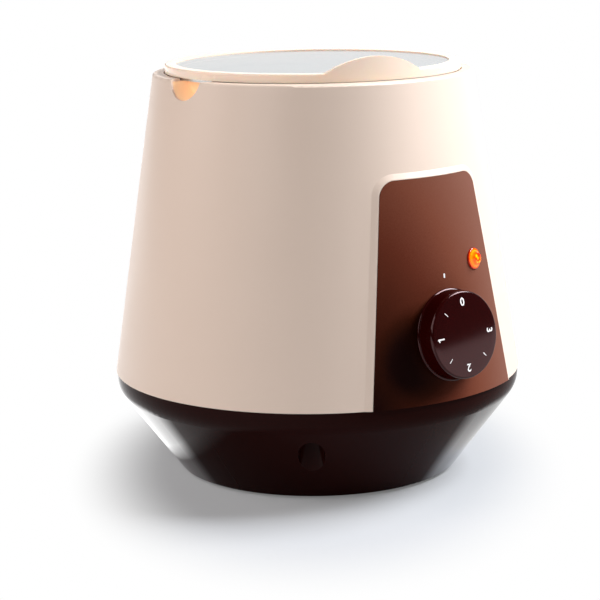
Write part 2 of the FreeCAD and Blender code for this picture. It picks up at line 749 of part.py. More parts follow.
floor_under = named("floor_under", size.foot_clearance + size.ring_depth)
floor_middle = named("floor_middle", floor_under + size.floor_thickness / 2)
floor_top = named("floor_top", floor_under + size.floor_thickness)
base_slope = named(
    "base_slope",
    (size.base_radius - size.bottom_radius) / (size.knee_height - size.foot_clearance),
)
level_wall = named("level_wall", size.base_wall * root(1 + base_slope * base_slope))
tongue_top = named("tongue_top", size.seam_height + size.tongue_rise)
tongue_room = named("tongue_room", skin(tongue_top) - size.housing_wall)
tongue_outer = named("tongue_outer", tongue_room - size.tongue_clearance)
tongue_inner = named("tongue_inner", tongue_outer - size.tongue_wall)


def make_base():
    bowl = turned(
        "base_bowl",
        [
            (0, floor_under),
            (size.ring_inner, floor_under),
            (size.ring_inner, size.foot_clearance),
            (size.bottom_radius, size.foot_clearance),
            (size.base_radius, size.knee_height),
            (size.base_radius, size.seam_height),
            (0, size.seam_height),
        ],
    )
    rounded(bowl, "knee", size.knee_round, [(size.base_radius, size.knee_height)])
    rounded(bowl, "bottom_edge", size.bottom_round, [(size.bottom_radius, size.foot_clearance)])
    band_inner = size.base_radius - size.base_wall
    inner_floor_radius = size.bottom_radius + (floor_top - size.foot_clearance) * base_slope - level_wall
    inner_knee = size.foot_clearance + (band_inner + level_wall - size.bottom_radius) / base_slope
    flange_low = size.seam_height - size.tongue_rise
    cavity = turned(
        "base_cavity",
        [
            (0, floor_top),
            (inner_floor_radius, floor_top),
            (band_inner, inner_knee),
            (band_inner, flange_low),
            (tongue_inner, flange_low),
            (tongue_inner, size.seam_height + size.tongue_rise),
            (0, size.seam_height + size.tongue_rise),
        ],
    )
    tongue = tube("base_tongue", tongue_outer, tongue_inner, 2 * size.tongue_rise)
    seat(tongue, up=size.seam_height - size.tongue_rise)
    boss_face = size.gland_face
    gland_boss = cylinder("gland_boss", size.gland_boss, size.gland_length)
    around(gland_boss, boss_face - size.gland_length, BACK, size.gland_height, 90)
    pockets = []
    bores = []
    ceiling = size.pocket_top + size.pocket_ceiling
    for index, azimuth in enumerate(QUARTERS, start=1):
        wall = cylinder(f"pocket_wall_{index}", size.pocket_radius + size.pocket_wall, ceiling)
        around(wall, size.screw_circle, azimuth)
        pocket = cylinder(f"pocket_bore_{index}", size.pocket_radius, size.pocket_top + size.overcut)
        around(pocket, size.screw_circle, azimuth, -1)
        hole = cylinder(f"pocket_hole_{index}", size.screw_shank + size.screw_clearance, ceiling)
        around(hole, size.screw_circle, azimuth, size.pocket_top - size.overcut)
        pockets.append(wall)
        bores.append(pocket)
        bores.append(hole)
    pocket_walls = common("pocket_walls", fused("pocket_tubes", *pockets), bowl)
    shell = cut("base_shell", bowl, cavity)
    posts = []
    for index, azimuth in enumerate(DIAGONALS, start=1):
        post = cylinder(f"well_post_{index}", size.post_radius, size.post_top - floor_middle)
        around(post, size.post_circle, azimuth, floor_middle)
        pilot = cylinder(
            f"post_pilot_{index}", size.screw_shank + size.pilot_clearance, size.well_screw_length
        )
        around(pilot, size.post_circle, azimuth, well_floor - size.well_screw_length - size.overcut)
        socket = cylinder(f"foot_hole_{index}", size.foot_radius + size.foot_fit, floor_under)
        around(socket, size.foot_circle, azimuth, size.foot_socket)
        posts.append(post)
        bores.append(pilot)
        bores.append(socket)
    gland_hole = cylinder("gland_hole", size.gland_radius + size.gland_fit, size.gland_length + both_ends)
    around(gland_hole, boss_face - size.gland_length - size.overcut, BACK, size.gland_height, 90)
    forms = fused("base_forms", shell, tongue, gland_boss, pocket_walls, *posts)
    node(cut("base", forms, gland_hole, make_vents(), *bores), "base")


def make_vents():
    """The ring of air slots in the floor, one slot repeated about the axis."""
    start = size.vent_inner
    end = size.vent_inner + size.vent_length
    half = size.vent_width / 2
    body = raised(
        "vents", "XY_Plane", [(start, -half), (end, -half), (end, half), (start, half)], 2 * floor_top
    )
    slot = body.Tip
    pattern = body.newObject("PartDesign::PolarPattern", "vent_ring")
    pattern.Originals = [slot]
    pattern.Axis = ([f for f in body.Origin.OriginFeatures if f.Role == "Z_Axis"][0], [""])
    pattern.Angle = 360
    pattern.Occurrences = round(size.vent_count.number)
    body.Tip = pattern
    return body


def make_feet():
    """Four rubber feet in their sockets, a little narrower at the table."""
    top = floor_under + size.foot_socket
    names = ["foot_front_right", "foot_back_right", "foot_back_left", "foot_front_left"]
    for name, azimuth in zip(names, DIAGONALS):
        low = size.foot_radius - size.foot_draft
        foot = turned(name, [(0, 0), (low, 0), (size.foot_radius, top), (0, top)])
        rounded(foot, name + "_edge", size.foot_draft, [(low, 0)])
        around(foot, size.foot_circle, azimuth)
        node(foot, name)


def make_gland():
    """The bush that the cord enters through."""
    inner_end = -size.gland_length
    gland = turned(
        "cord_gland",
        [
            (size.cord_bore, inner_end),
            (size.gland_radius, inner_end),
            (size.gland_radius, 0),
            (size.gland_flange, 0),
            (size.gland_flange, size.gland_flange_thickness),
            (size.cord_bore, size.gland_flange_thickness),
        ],
    )
    flange_edge = (size.gland_flange, size.gland_flange_thickness)
    rounded(gland, "gland_edge", size.gland_flange_round, [flange_edge])
    around(gland, size.gland_face, BACK, size.gland_height, 90)
    node(gland, "cord_gland")


def make_base_screws():
    screws = []
    for index, azimuth in enumerate(QUARTERS, start=1):
        item = screw(f"base_screw_{index}", size.base_screw_length)
        around(item, size.screw_circle, azimuth, size.pocket_top, 180)
        screws.append(item)
    node(group("base_screw_set", *screws), "base_screws")


# Heating well: the pot hangs in it, and the heater, its sleeve and the sensor sit round it.

well_outer = named("well_outer", size.well_radius + size.well_wall)
well_top = named("well_top", ledge_under - size.seal_height)
shield_radius = named("shield_radius", well_outer + size.shield_margin)


def screw_tools(prefix, radius, low, length):
    """Cutters for the four screws that hold the well."""
    tools = []
    for index, azimuth in enumerate(DIAGONALS, start=1):
        hole = cylinder(f"{prefix}_{index}", radius, length)
        around(hole, size.post_circle, azimuth, low)
        tools.append(hole)
    return tools


def make_well():
    well = turned(
        "well_shell",
        [
            (0, well_under),
            (well_outer, well_under),
            (well_outer, well_top),
            (size.well_radius, well_top),
            (size.well_radius, well_floor),
            (0, well_floor),
        ],
    )
    rounded(well, "well_edge", size.well_round, [(well_outer, well_under)])
    inner_round = size.well_round - size.well_wall
    rounded(well, "well_inner_edge", inner_round, [(size.well_radius, well_floor)])
    hole = size.screw_shank + size.screw_clearance
    holes = screw_tools("well_screw_hole", hole, well_under - size.overcut, size.well_wall + both_ends)
    node(cut("heating_well", well, *holes), "heating_well")

    seal = tube(
        "well_seal",
        well_outer + size.seal_overhang,
        size.pot_opening + size.seal_overhang,
        size.seal_height,
    )
    node(seat(seal, up=well_top), "well_seal")


def make_heater():
    inner = well_outer + size.heater_gap
    outer = inner + size.heater_thickness
    band = tube("heater_ring", outer, inner, size.heater_height)
    seat(band, up=size.heater_low)
    gap = block("heater_gap_tool", size.heater_slot, size.well_radius, size.heater_height + both_ends)
    around(gap, well_outer, BACK, size.heater_low - size.overcut)
    node(cut("heater_band", band, gap), "heater_band")

    sleeve_inner = outer + size.sleeve_gap
    sleeve = tube(
        "insulation_sleeve",
        sleeve_inner + size.sleeve_thickness,
        sleeve_inner,
        sleeve_high - sleeve_low,
    )
    node(seat(sleeve, up=sleeve_low), "insulation_sleeve")


def make_shield():
    inner = shield_radius - size.shield_thickness
    lip = shield_top + size.shield_lip
    shield = turned(
        "shield_dish",
        [
            (0, size.post_top),
            (shield_radius, size.post_top),
            (shield_radius, lip),
            (inner, lip),
            (inner, shield_top),
            (0, shield_top),
        ],
    )
    hole = size.screw_shank + size.screw_clearance
    holes = screw_tools("shield_hole", hole, size.post_top - size.overcut, size.shield_thickness + both_ends)
    node(cut("heat_shield", shield, *holes), "heat_shield")

    spacers = []
    screws = []
    for index, azimuth in enumerate(DIAGONALS, start=1):
        spacer = tube(f"spacer_{index}", size.spacer_radius, hole, size.spacer_length)
        around(spacer, size.post_circle, azimuth, shield_top)
        spacers.append(spacer)
        item = screw(f"well_screw_{index}", size.well_screw_length)
        around(item, size.post_circle, azimuth, well_floor)
        screws.append(item)
    node(group("spacer_set", *spacers), "well_spacers")
    node(group("well_screw_set", *screws), "well_screws")


def make_cutout():
    """The thermal cut-out, a capped disc on a plate under the middle of the well."""
    cap = cylinder("cutout_cap", size.cutout_radius, size.cutout_height)
    seat(cap, up=well_under - size.cutout_plate - size.cutout_height)
    plate = block("cutout_plate_form", 2 * size.cutout_plate_half, size.cutout_radius, size.cutout_plate)
    seat(plate, up=well_under - size.cutout_plate)
    node(fused("thermal_cutout", cap, plate), "thermal_cutout")


def make_sensor():
    """The sensor bulb upright against the well, and the saddle clip that holds it."""
    bulb_circle = well_outer + size.bulb_gap + size.bulb_radius
    bulb = cylinder("sensor_bulb", size.bulb_radius, size.bulb_length)
    around(bulb, bulb_circle, FRONT, size.bulb_low)
    node(bulb, "sensor_bulb")

    reach = 2 * size.bulb_radius + size.bulb_gap + size.clip_wall
    clip_low = size.bulb_low + (size.bulb_length - size.clip_height) / 2
    saddle = block("saddle_form", size.clip_width, reach, size.clip_height)
    around(saddle, well_outer + reach / 2, FRONT, clip_low)
    groove = cylinder("saddle_groove", size.bulb_radius + size.bulb_gap, size.clip_height + both_ends)
    around(groove, bulb_circle, FRONT, clip_low - size.overcut)
    well_room = cylinder("saddle_well_room", well_outer + size.bulb_gap / 2, size.clip_height + both_ends)
    seat(well_room, up=clip_low - size.overcut)
    node(cut("sensor_clip", saddle, groove, well_room), "sensor_clip")


def make_terminal_block():
    """Three wire barrels in one block on the base's floor."""
    form = block("block_form", size.block_width, size.block_depth, size.block_height)
    around(form, size.block_offset, BACK, floor_top)
    bores = []
    for index, step in enumerate((-1, 0, 1), start=1):
        bore = cylinder(f"wire_barrel_{index}", size.block_bore, size.block_depth + both_ends)
        across = step * size.block_pitch
        seat(
            bore,
            across,
            size.block_offset + size.block_depth / 2 + size.overcut,
            floor_top + size.block_bore_height,
            roll=90,
        )
        bores.append(bore)
        opening = cylinder(f"wire_screw_{index}", size.block_screw_bore, size.block_height)
        seat(opening, across, size.block_offset, floor_top + size.block_height / 2)
        bores.append(opening)
    node(cut("terminal_block", form, *bores), "terminal_block")


# Thermostat and knob, all in the knob's frame: its axis points straight out of the housing.


def make_thermostat():
    body = block(
        "thermostat_form", size.thermostat_width, size.thermostat_height, size.thermostat_thickness
    )

    def corner(edge):
        low, high = (vertex.Point for vertex in edge.Vertexes)
        return abs(low.z - high.z) > 1

    rounded_uprights(body, "thermostat_corners", size.thermostat_round, corner)
    beside(body, 0, 0, -size.thermostat_depth - size.thermostat_thickness)
    bore = cylinder("shaft_bore", size.shaft_radius + size.shaft_running, size.shaft_depth + size.overcut)
    beside(bore, 0, 0, -size.thermostat_depth - size.shaft_depth)
    holes = []
    for name, side in (("left", -1), ("right", 1)):
        hole = cylinder(
            f"thermostat_{name}_pilot",
            size.screw_shank + size.pilot_clearance,
            size.thermostat_screw_length,
        )
        beside(
            hole,
            side * size.thermostat_pitch / 2,
            0,
            panel_outer - size.thermostat_screw_length - size.overcut,
        )
        holes.append(hole)
    node(cut("thermostat_body", body, bore, *holes), "thermostat_body")

    tabs = []
    mid_depth = -size.thermostat_depth - size.tab_depth
    for name, side in (("left", -1), ("right", 1)):
        tab = block(f"tab_{name}", size.tab_length, size.tab_width, size.tab_thickness)
        across = side * (size.thermostat_width + size.tab_length) / 2
        beside(tab, across, 0, mid_depth)
        tabs.append(tab)
    node(group("tab_set", *tabs), "thermostat_terminals")

    screws = []
    for name, side in (("left", -1), ("right", 1)):
        item = screw(f"thermostat_screw_{name}", size.thermostat_screw_length)
        beside(item, side * size.thermostat_pitch / 2, 0, screw_seat)
        screws.append(item)
    node(group("thermostat_screw_set", *screws), "thermostat_screws")


screw_seat = named(
    "screw_seat",
    panel_outer
    - (size.thermostat_pitch / 2 - size.screw_head)
    * (size.thermostat_pitch / 2 - size.screw_head)
    / (2 * skin(size.knob_height))
    + size.shaft_running,
)


def d_section(name, radius, flat, length):
    """A round bar with one flat."""
    bar = cylinder(name + "_bar", radius, length)
    slab = raised(
        name + "_slab",
        "XY_Plane",
        [(-2 * radius, -2 * radius), (2 * radius, -2 * radius), (2 * radius, flat), (-2 * radius, flat)],
        length,
    )
    return bar, slab


def make_shaft():
    """The thermostat's shaft: round in its bore, with a flat where the knob sits."""
    tip = size.knob_reach - size.knob_top - size.shaft_tip_gap
    flat_start = panel_outer + size.knob_gap
    bar, slab = d_section("shaft_end", size.shaft_radius, size.shaft_flat, tip - flat_start)
    beside(bar, 0, 0, flat_start)
    beside(slab, 0, 0, flat_start)
    end = common("shaft_end", bar, slab)
    stem_low = -size.thermostat_depth - size.shaft_depth + size.shaft_tip_gap
    stem = cylinder("shaft_stem", size.shaft_radius, flat_start - stem_low)
    beside(stem, 0, 0, stem_low)
    node(fused("thermostat_shaft", stem, end), "thermostat_shaft")


def make_knob():
    """A hollow knob with a plain drafted side, a rounded front edge and a hub with a flat."""
    back = panel_outer + size.knob_gap
    inner_back = size.knob_back - size.knob_wall
    inner_face = size.knob_face - size.knob_wall
    under_top = size.knob_reach - size.knob_top
    cap = turned(
        "knob_cap",
        [
            (inner_back, back),
            (size.knob_back, back),
            (size.knob_face, size.knob_reach),
            (0, size.knob_reach),
            (0, under_top),
            (inner_face, under_top),
        ],
    )
    rounded(cap, "knob_edge", size.knob_round, [(size.knob_face, size.knob_reach)])
    hub_low = back + size.hub_setback
    beside(cap, 0, 0, 0)
    hub = cylinder("knob_hub", size.hub_radius, size.knob_reach - size.knob_top / 2 - hub_low)
    beside(hub, 0, 0, hub_low)
    fit = size.shaft_running
    bore_length = under_top - hub_low + size.overcut
    bar, slab = d_section("knob_bore", size.shaft_radius + fit, size.shaft_flat + fit, bore_length)
    beside(bar, 0, 0, hub_low - size.overcut)
    beside(slab, 0, 0, hub_low - size.overcut)
    bore = common("knob_bore", bar, slab)
    node(cut("knob", fused("knob_forms", cap, hub), bore), "knob")

    clip = tube(
        "knob_clip",
        size.hub_radius + size.knob_clip_thickness,
        size.hub_radius + size.shaft_running,
        size.knob_clip_height,
    )
    node(beside(clip, 0, 0, hub_low + size.hub_setback), "knob_clip")


# Pilot lamp, in a frame of its own that points out of the housing.


def make_lamp():
    dome_low = size.lamp_flange
    flange = cylinder("lens_flange", size.lamp_radius, size.lamp_flange)
    on_lamp(flange, panel_outer)
    spigot = cylinder("lens_spigot", size.lamp_spigot, size.lamp_spigot_length + size.lamp_flange / 2)
    on_lamp(spigot, panel_outer - size.lamp_spigot_length)
    foot = many_sided("lens_foot", size.lamp_dome_foot)
    top = many_sided("lens_top", size.lamp_dome_top)
    on_lamp(foot, panel_outer + dome_low)
    on_lamp(top, panel_outer + dome_low + size.lamp_dome)
    dome = doc.addObject("Part::Loft", "lens_dome")
    dome.Sections = [foot, top]
    dome.Solid = True
    dome.Ruled = True
    node(fused("pilot_lens", flange, spigot, dome), "pilot_lens")

    front = panel_outer
    barrel = cylinder("lamp_barrel_form", size.lamp_barrel, size.lamp_body_length)
    on_lamp(barrel, front - size.lamp_body_length)
    spigot_room = size.lamp_spigot + size.lamp_fit
    socket = cylinder("lamp_socket", spigot_room, size.lamp_spigot_length + size.lamp_fit + size.overcut)
    on_lamp(socket, front - size.lamp_spigot_length - size.lamp_fit)
    node(cut("pilot_body", barrel, socket), "pilot_body")

    ring = tube(
        "pilot_retainer", size.nut_radius, size.lamp_barrel + size.lamp_fit / 2, size.nut_thickness
    )
    inside = -size.housing_wall - 2 * size.lamp_fit - size.nut_thickness
    node(on_lamp(ring, inside), "pilot_retainer")


def on_lamp(item, out):
    return on_skin(item, size.lamp_height, size.lamp_azimuth, out)


def many_sided(name, radius):
    item = doc.addObject("Part::RegularPolygon", name)
    item.Polygon = round(size.lamp_facets.number)
    return bind(item, Circumradius=radius)


# Pot and lid.

flange_top = named("flange_top", ledge_height + size.flange_thickness)
ring_top = named("ring_top", flange_top + size.lid_height)
window_top = named("window_top", ring_top - size.window_setback)
window_under = named("window_under", window_top - size.window_thickness)


def make_pot():
    """The pot, and the ring welded to its mouth that it hangs by."""
    inner_floor = size.pot_bottom + size.pot_wall
    pot = turned(
        "pot",
        [
            (0, size.pot_bottom),
            (pot_outer, size.pot_bottom),
            (pot_outer, ledge_height),
            (size.pot_radius, ledge_height),
            (size.pot_radius, inner_floor),
            (0, inner_floor),
        ],
    )
    rounded(pot, "pot_edge", size.pot_round, [(pot_outer, size.pot_bottom)])
    inner_round = size.pot_round - size.pot_wall
    rounded(pot, "pot_inner_edge", inner_round, [(size.pot_radius, inner_floor)])
    node(pot, "pot")

    bead_outer = size.lid_radius - size.lid_wall - size.bead_fit
    bead_inner = bead_outer - size.bead_width
    bead_top = flange_top + size.bead_height
    flange = turned(
        "pot_flange",
        [
            (size.pot_radius, ledge_height),
            (size.flange_radius, ledge_height),
            (size.flange_radius, flange_top),
            (bead_outer, flange_top),
            (bead_outer, bead_top),
            (bead_inner, bead_top),
            (bead_inner, flange_top),
            (size.pot_radius, flange_top),
        ],
    )
    rounded(flange, "pot_mouth", size.pot_wall, [(size.pot_radius, flange_top)])
    node(flange, "pot_flange")


def make_lid():
    ledge_radius = size.window_opening - size.window_ledge
    inner = size.lid_radius - size.lid_wall
    hollow = flange_top + size.lid_skirt
    ring = turned(
        "lid_ring",
        [
            (inner, flange_top),
            (size.lid_radius, flange_top),
            (size.lid_radius, ring_top),
            (size.window_opening, ring_top),
            (size.window_opening, window_under),
            (ledge_radius, window_under),
            (ledge_radius, hollow),
            (inner, hollow),
        ],
    )
    rounded(ring, "lid_edge", size.lid_round, [(size.lid_radius, ring_top)])
    half = size.grip_width / 2
    bow = named("grip_bow", (half * half + size.grip_rise * size.grip_rise) / (2 * size.grip_rise))
    bow_disc = cylinder("grip_bow_disc", bow, size.lid_radius)
    around(bow_disc, sized(1), size.grip_azimuth, ring_top + size.grip_rise - bow, 90)
    wall = tube(
        "grip_wall_ring",
        size.lid_radius,
        size.lid_radius - size.grip_wall,
        size.grip_rise + size.lid_height,
    )
    seat(wall, up=window_under)
    upper = common("lid_grip", wall, bow_disc)
    node(fused("lid_frame", ring, upper), "lid_frame")

    window = cylinder("lid_window", size.window_opening - size.window_fit, size.window_thickness)
    node(seat(window, up=window_under), "lid_window")


make_housing()
make_panel()
make_base()
make_feet()
make_gland()
make_base_screws()
make_well()
make_heater()
make_shield()
make_cutout()
make_sensor()
make_terminal_block()
make_thermostat()
make_shaft()
make_knob()
make_lamp()
make_pot()
make_lid()
doc.recompute()

failed = [item.Name for item in doc.Objects if {"Invalid", "Error"} & set(item.State)]
for name, item in nodes:
    shape = item.Shape
    if shape.isNull() or not shape.isValid() or not shape.Solids:
        failed.append(name)
if failed:
    raise RuntimeError(f"these objects failed: {failed}")

os.makedirs("parts", exist_ok=True)
for name, item in nodes:
    item.Shape.exportStep(f"parts/{name}.step")
    box = item.Shape.BoundBox
    solids = len(item.Shape.Solids)
    print(
        f"{name}: {solids} solid(s), {item.Shape.Volume / 1000:.2f} cm3,"
        f" z {box.ZMin:.1f} to {box.ZMax:.1f}"
    )
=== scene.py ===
# %% [markdown]
# # A chocolate melter, dressed for its picture
#
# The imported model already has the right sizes: a conical housing on a dark bowl-shaped base, a
# panel with a knob and a pilot lamp, a pot in its heating well and a lid with a clear window.
# This lesson gives each of those parts the finish that the real one has, and models the few parts
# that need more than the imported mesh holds.

import math

import bmesh
import bpy
from mathutils import Matrix, Vector


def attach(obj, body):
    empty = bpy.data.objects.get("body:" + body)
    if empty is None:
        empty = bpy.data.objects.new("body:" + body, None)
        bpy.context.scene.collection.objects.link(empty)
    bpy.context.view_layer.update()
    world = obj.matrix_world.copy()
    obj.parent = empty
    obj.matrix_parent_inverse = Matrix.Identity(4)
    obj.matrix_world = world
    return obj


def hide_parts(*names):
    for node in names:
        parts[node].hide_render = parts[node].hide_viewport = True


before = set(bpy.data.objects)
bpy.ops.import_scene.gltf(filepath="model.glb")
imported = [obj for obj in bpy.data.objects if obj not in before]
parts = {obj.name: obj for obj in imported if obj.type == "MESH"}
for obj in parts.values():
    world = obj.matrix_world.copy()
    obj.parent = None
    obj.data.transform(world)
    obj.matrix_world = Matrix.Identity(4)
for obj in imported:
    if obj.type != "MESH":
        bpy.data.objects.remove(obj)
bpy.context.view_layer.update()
scene = bpy.context.scene

# %% [markdown]
# ## Camera
#
# The circles of the seam, the rim, the lid and the foot fix the viewpoint of the photograph. It
# lies in front of the panel's left side, a little above the lid, with a long lens. The camera
# frame is built from its three directions, so nothing has to be turned by hand.

# %% Camera
MM = 0.001
AZIMUTH = math.radians(-39.75)
DISTANCE = 1.11356
EYE_HEIGHT = 0.32626
YAW = -0.0083
PITCH = -0.2055
ROLL = -0.0171
FOCAL_PIXELS = 1987.9
PICTURE_PIXELS = 600

turn_to_view = Matrix.Rotation(AZIMUTH, 3, "Z")
forward = turn_to_view @ Vector(
    (math.sin(YAW) * math.cos(PITCH), math.cos(YAW) * math.cos(PITCH), math.sin(PITCH))
)
level_right = turn_to_view @ Vector((math.cos(YAW), -math.sin(YAW), 0))
level_up = level_right.cross(forward)
right = math.cos(ROLL) * level_right + math.sin(ROLL) * level_up
up = math.cos(ROLL) * level_up - math.sin(ROLL) * level_right

lens = bpy.data.cameras.new("camera")
lens.sensor_width = 36
lens.lens = FOCAL_PIXELS / PICTURE_PIXELS * lens.sensor_width
camera = bpy.data.objects.new("camera", lens)
camera.matrix_world = Matrix.Translation(turn_to_view @ Vector((0, -DISTANCE, EYE_HEIGHT))) @ (
    Matrix((right, up, -forward)).transposed().to_4x4()
)
scene.collection.objects.link(camera)
scene.camera = camera
scene.view_settings.view_transform = "Standard"
print("camera at", camera.matrix_world.translation, "lens", round(lens.lens, 1), "mm")

# %% [markdown]
# ## Helpers for nodes
#
# Every finish is made of nodes. They could be placed and joined by hand in the shader editor, but
# a script gives the same result each time. Short helpers keep its recipes readable: one adds a
# node with its values, one joins sockets, one rescales a value and one starts a material.


# %% Node helpers
def add_node(tree, kind, values=None, **settings):
    """Adds a node, sets its options and the values of its sockets."""
    node = tree.nodes.new(kind)
    for key, value in settings.items():
        setattr(node, key, value)
    for key, value in (values or {}).items():
        node.inputs[key].default_value = value
    return node


def wire(tree, *routes):
    """Joins sockets. Each route is a node, its output, the next node and that one's input."""
    for source, output, target, socket in routes:
        tree.links.new(source.outputs[output], target.inputs[socket])


def rescale(tree, given=(0.0, 1.0), result=(0.0, 1.0), smooth=False):
    """A value that runs over the result while its input runs over the given span."""
    return add_node(
        tree,
        "ShaderNodeMapRange",
        {"From Min": given[0], "From Max": given[1], "To Min": result[0], "To Max": result[1]},
        interpolation_type="SMOOTHSTEP" if smooth else "LINEAR",
    )


def start_material(name, **values):
    """A new material and its Principled shader, with plain values on the shader's own sockets."""
    material = bpy.data.materials.new(name)
    material.use_nodes = True
    tree = material.node_tree
    shader = tree.nodes["Principled BSDF"]
    for key, value in values.items():
        shader.inputs[key.replace("_", " ")].default_value = value
    return material, tree, shader


# %% [markdown]
# ## Floor, backdrop and light
#
# The photograph was taken on a white table against white, so the floor fades to pure white away
# from the melter and keeps the soft shadow close to it. The white is added only for rays that
# come from the camera, a reflection or a clear part. All other rays meet a plain pale floor, so
# it doesn't light the melter more than a table would. What the base mirrors starts more sharply
# and is brighter on the left, where the photograph shows a crisp bright strip.

# %% Floor
FLOOR_RADIUS = 4.0


def finished_mesh(shape, name):
    """Hands a bmesh over to a new mesh."""
    mesh = bpy.data.meshes.new(name)
    shape.to_mesh(mesh)
    shape.free()
    return mesh


shape = bmesh.new()
bmesh.ops.create_circle(shape, cap_ends=True, radius=FLOOR_RADIUS, segments=96)
floor = bpy.data.objects.new("floor", finished_mesh(shape, "floor"))
scene.collection.objects.link(floor)
print("floor", FLOOR_RADIUS, "m in radius")

# %% Floor finish
SHADOW_REACH = 0.085
WHITE_FROM = 0.145
LONGER_IN_FRONT = 1.65
SHADOW_VEIL = 0.16
SHARP_EDGE = 0.012
SIDE_REACH = 0.12
LEFT_GLOW = 1.7
RIGHT_GLOW = 0.7

floor_material, tree, shader = start_material("pale_floor", Roughness=0.6, Specular_IOR_Level=0.15)
shader.inputs["Base Color"].default_value = (0.52, 0.53, 0.55, 1)
place = add_node(tree, "ShaderNodeTexCoord")
oval = add_node(tree, "ShaderNodeMapping", vector_type="TEXTURE")
oval.inputs["Rotation"].default_value = (0, 0, AZIMUTH)
oval.inputs["Scale"].default_value = (1, LONGER_IN_FRONT, 1)
far = add_node(tree, "ShaderNodeVectorMath", operation="LENGTH")
fade = rescale(tree, (SHADOW_REACH, WHITE_FROM), (SHADOW_VEIL, 1.0), smooth=True)
rays = add_node(tree, "ShaderNodeLightPath")
seen = add_node(tree, "ShaderNodeMath", operation="MAXIMUM")
seen_through = add_node(tree, "ShaderNodeMath", operation="MAXIMUM")
share = add_node(tree, "ShaderNodeMath", operation="MULTIPLY")
white = add_node(tree, "ShaderNodeEmission", {"Color": (1, 1, 1, 1)})
blend = add_node(tree, "ShaderNodeMixShader")
sharp_fade = rescale(tree, (SHADOW_REACH, SHADOW_REACH + SHARP_EDGE))
fade_here = add_node(tree, "ShaderNodeMix", data_type="FLOAT")
across = add_node(tree, "ShaderNodeSeparateXYZ")
side = rescale(tree, (-SIDE_REACH, SIDE_REACH), (LEFT_GLOW, RIGHT_GLOW))
glow_here = add_node(tree, "ShaderNodeMix", {"A": 1.0}, data_type="FLOAT")
wire(
    tree,
    (place, "Object", oval, "Vector"),
    (oval, "Vector", far, 0),
    (far, "Value", fade, "Value"),
    (rays, "Is Camera Ray", seen, 0),
    (rays, "Is Glossy Ray", seen, 1),
    (seen, 0, seen_through, 0),
    (rays, "Is Transmission Ray", seen_through, 1),
    (far, "Value", sharp_fade, "Value"),
    (rays, "Is Glossy Ray", fade_here, "Factor"),
    (fade, "Result", fade_here, "A"),
    (sharp_fade, "Result", fade_here, "B"),
    (oval, "Vector", across, 0),
    (across, "X", side, "Value"),
    (rays, "Is Glossy Ray", glow_here, "Factor"),
    (side, "Result", glow_here, "B"),
    (glow_here, "Result", white, "Strength"),
    (fade_here, "Result", share, 0),
    (seen_through, 0, share, 1),
    (share, 0, blend, "Fac"),
    (shader, 0, blend, 1),
    (white, 0, blend, 2),
    (blend, 0, tree.nodes["Material Output"], "Surface"),
)
floor.data.materials.append(floor_material)
print("floor fades to white from", SHADOW_REACH, "to", WHITE_FROM, "m")

# %% [markdown]
# Round the floor, the camera and the clear parts see nothing but white. Glossy parts mirror that
# white only from the wall behind the melter and find a dim room everywhere else. The light that
# the room itself gives is weak.

# %% World
ROOM_LIGHT = 0.06
ROOM_REFLECTION = 0.05
BACKDROP_EDGE = 0.55
BACKDROP_FULL = 0.92

world = bpy.data.worlds.new("studio")
world.use_nodes = True
scene.world = world
tree = world.node_tree
backdrop = add_node(tree, "ShaderNodeBackground", {"Color": (1, 1, 1, 1), "Strength": 1.0})
room = tree.nodes["Background"]
room.inputs["Color"].default_value = (0.96, 0.97, 1.0, 1)
room.inputs["Strength"].default_value = ROOM_LIGHT
dim_room = add_node(
    tree, "ShaderNodeBackground", {"Color": (0.9, 0.92, 1.0, 1), "Strength": ROOM_REFLECTION}
)
way = add_node(tree, "ShaderNodeTexCoord")
behind = add_node(tree, "ShaderNodeVectorMath", operation="DOT_PRODUCT")
behind.inputs[1].default_value = (forward.x, forward.y, 0)
wall = rescale(tree, (BACKDROP_EDGE, BACKDROP_FULL), smooth=True)
rays = add_node(tree, "ShaderNodeLightPath")
plain = add_node(tree, "ShaderNodeMath", operation="MAXIMUM")
reflected = add_node(tree, "ShaderNodeMixShader")
glossy = add_node(tree, "ShaderNodeMixShader")
seen = add_node(tree, "ShaderNodeMixShader")
wire(
    tree,
    (way, "Generated", behind, 0),
    (behind, "Value", wall, "Value"),
    (wall, "Result", reflected, "Fac"),
    (dim_room, 0, reflected, 1),
    (backdrop, 0, reflected, 2),
    (rays, "Is Glossy Ray", glossy, "Fac"),
    (room, 0, glossy, 1),
    (reflected, 0, glossy, 2),
    (rays, "Is Camera Ray", plain, 0),
    (rays, "Is Transmission Ray", plain, 1),
    (plain, 0, seen, "Fac"),
    (glossy, 0, seen, 1),
    (backdrop, 0, seen, 2),
    (seen, 0, tree.nodes["World Output"], "Surface"),
)
print("room light", ROOM_LIGHT, "and reflection", ROOM_REFLECTION)

# %% [markdown]
# The melter is lit by a strong softbox high on the right and two weak ones on the left. So the
# housing runs from beige through a darker band that faces the camera to nearly white, and the
# knob throws a broad soft shadow to its left. Azimuths are counted from the camera to the right.
# The strong lamp is slightly blue and the weak ones are warm, as the cream shows.

# %% Lamps
# name, degrees to the right, degrees up, metres away, width and height, watts, colour
LAMPS = [
    ("right_softbox", 95, 42, 1.5, (0.8, 0.8), 46, (0.93, 0.96, 1.0)),
    ("left_softbox", -35, 30, 1.4, (0.7, 0.9), 5.6, (1.0, 0.98, 0.96)),
    ("far_left_softbox", -80, 30, 1.4, (0.7, 0.9), 7.8, (1.0, 0.93, 0.91)),
]
MIDDLE = Vector((0, 0, 0.13))

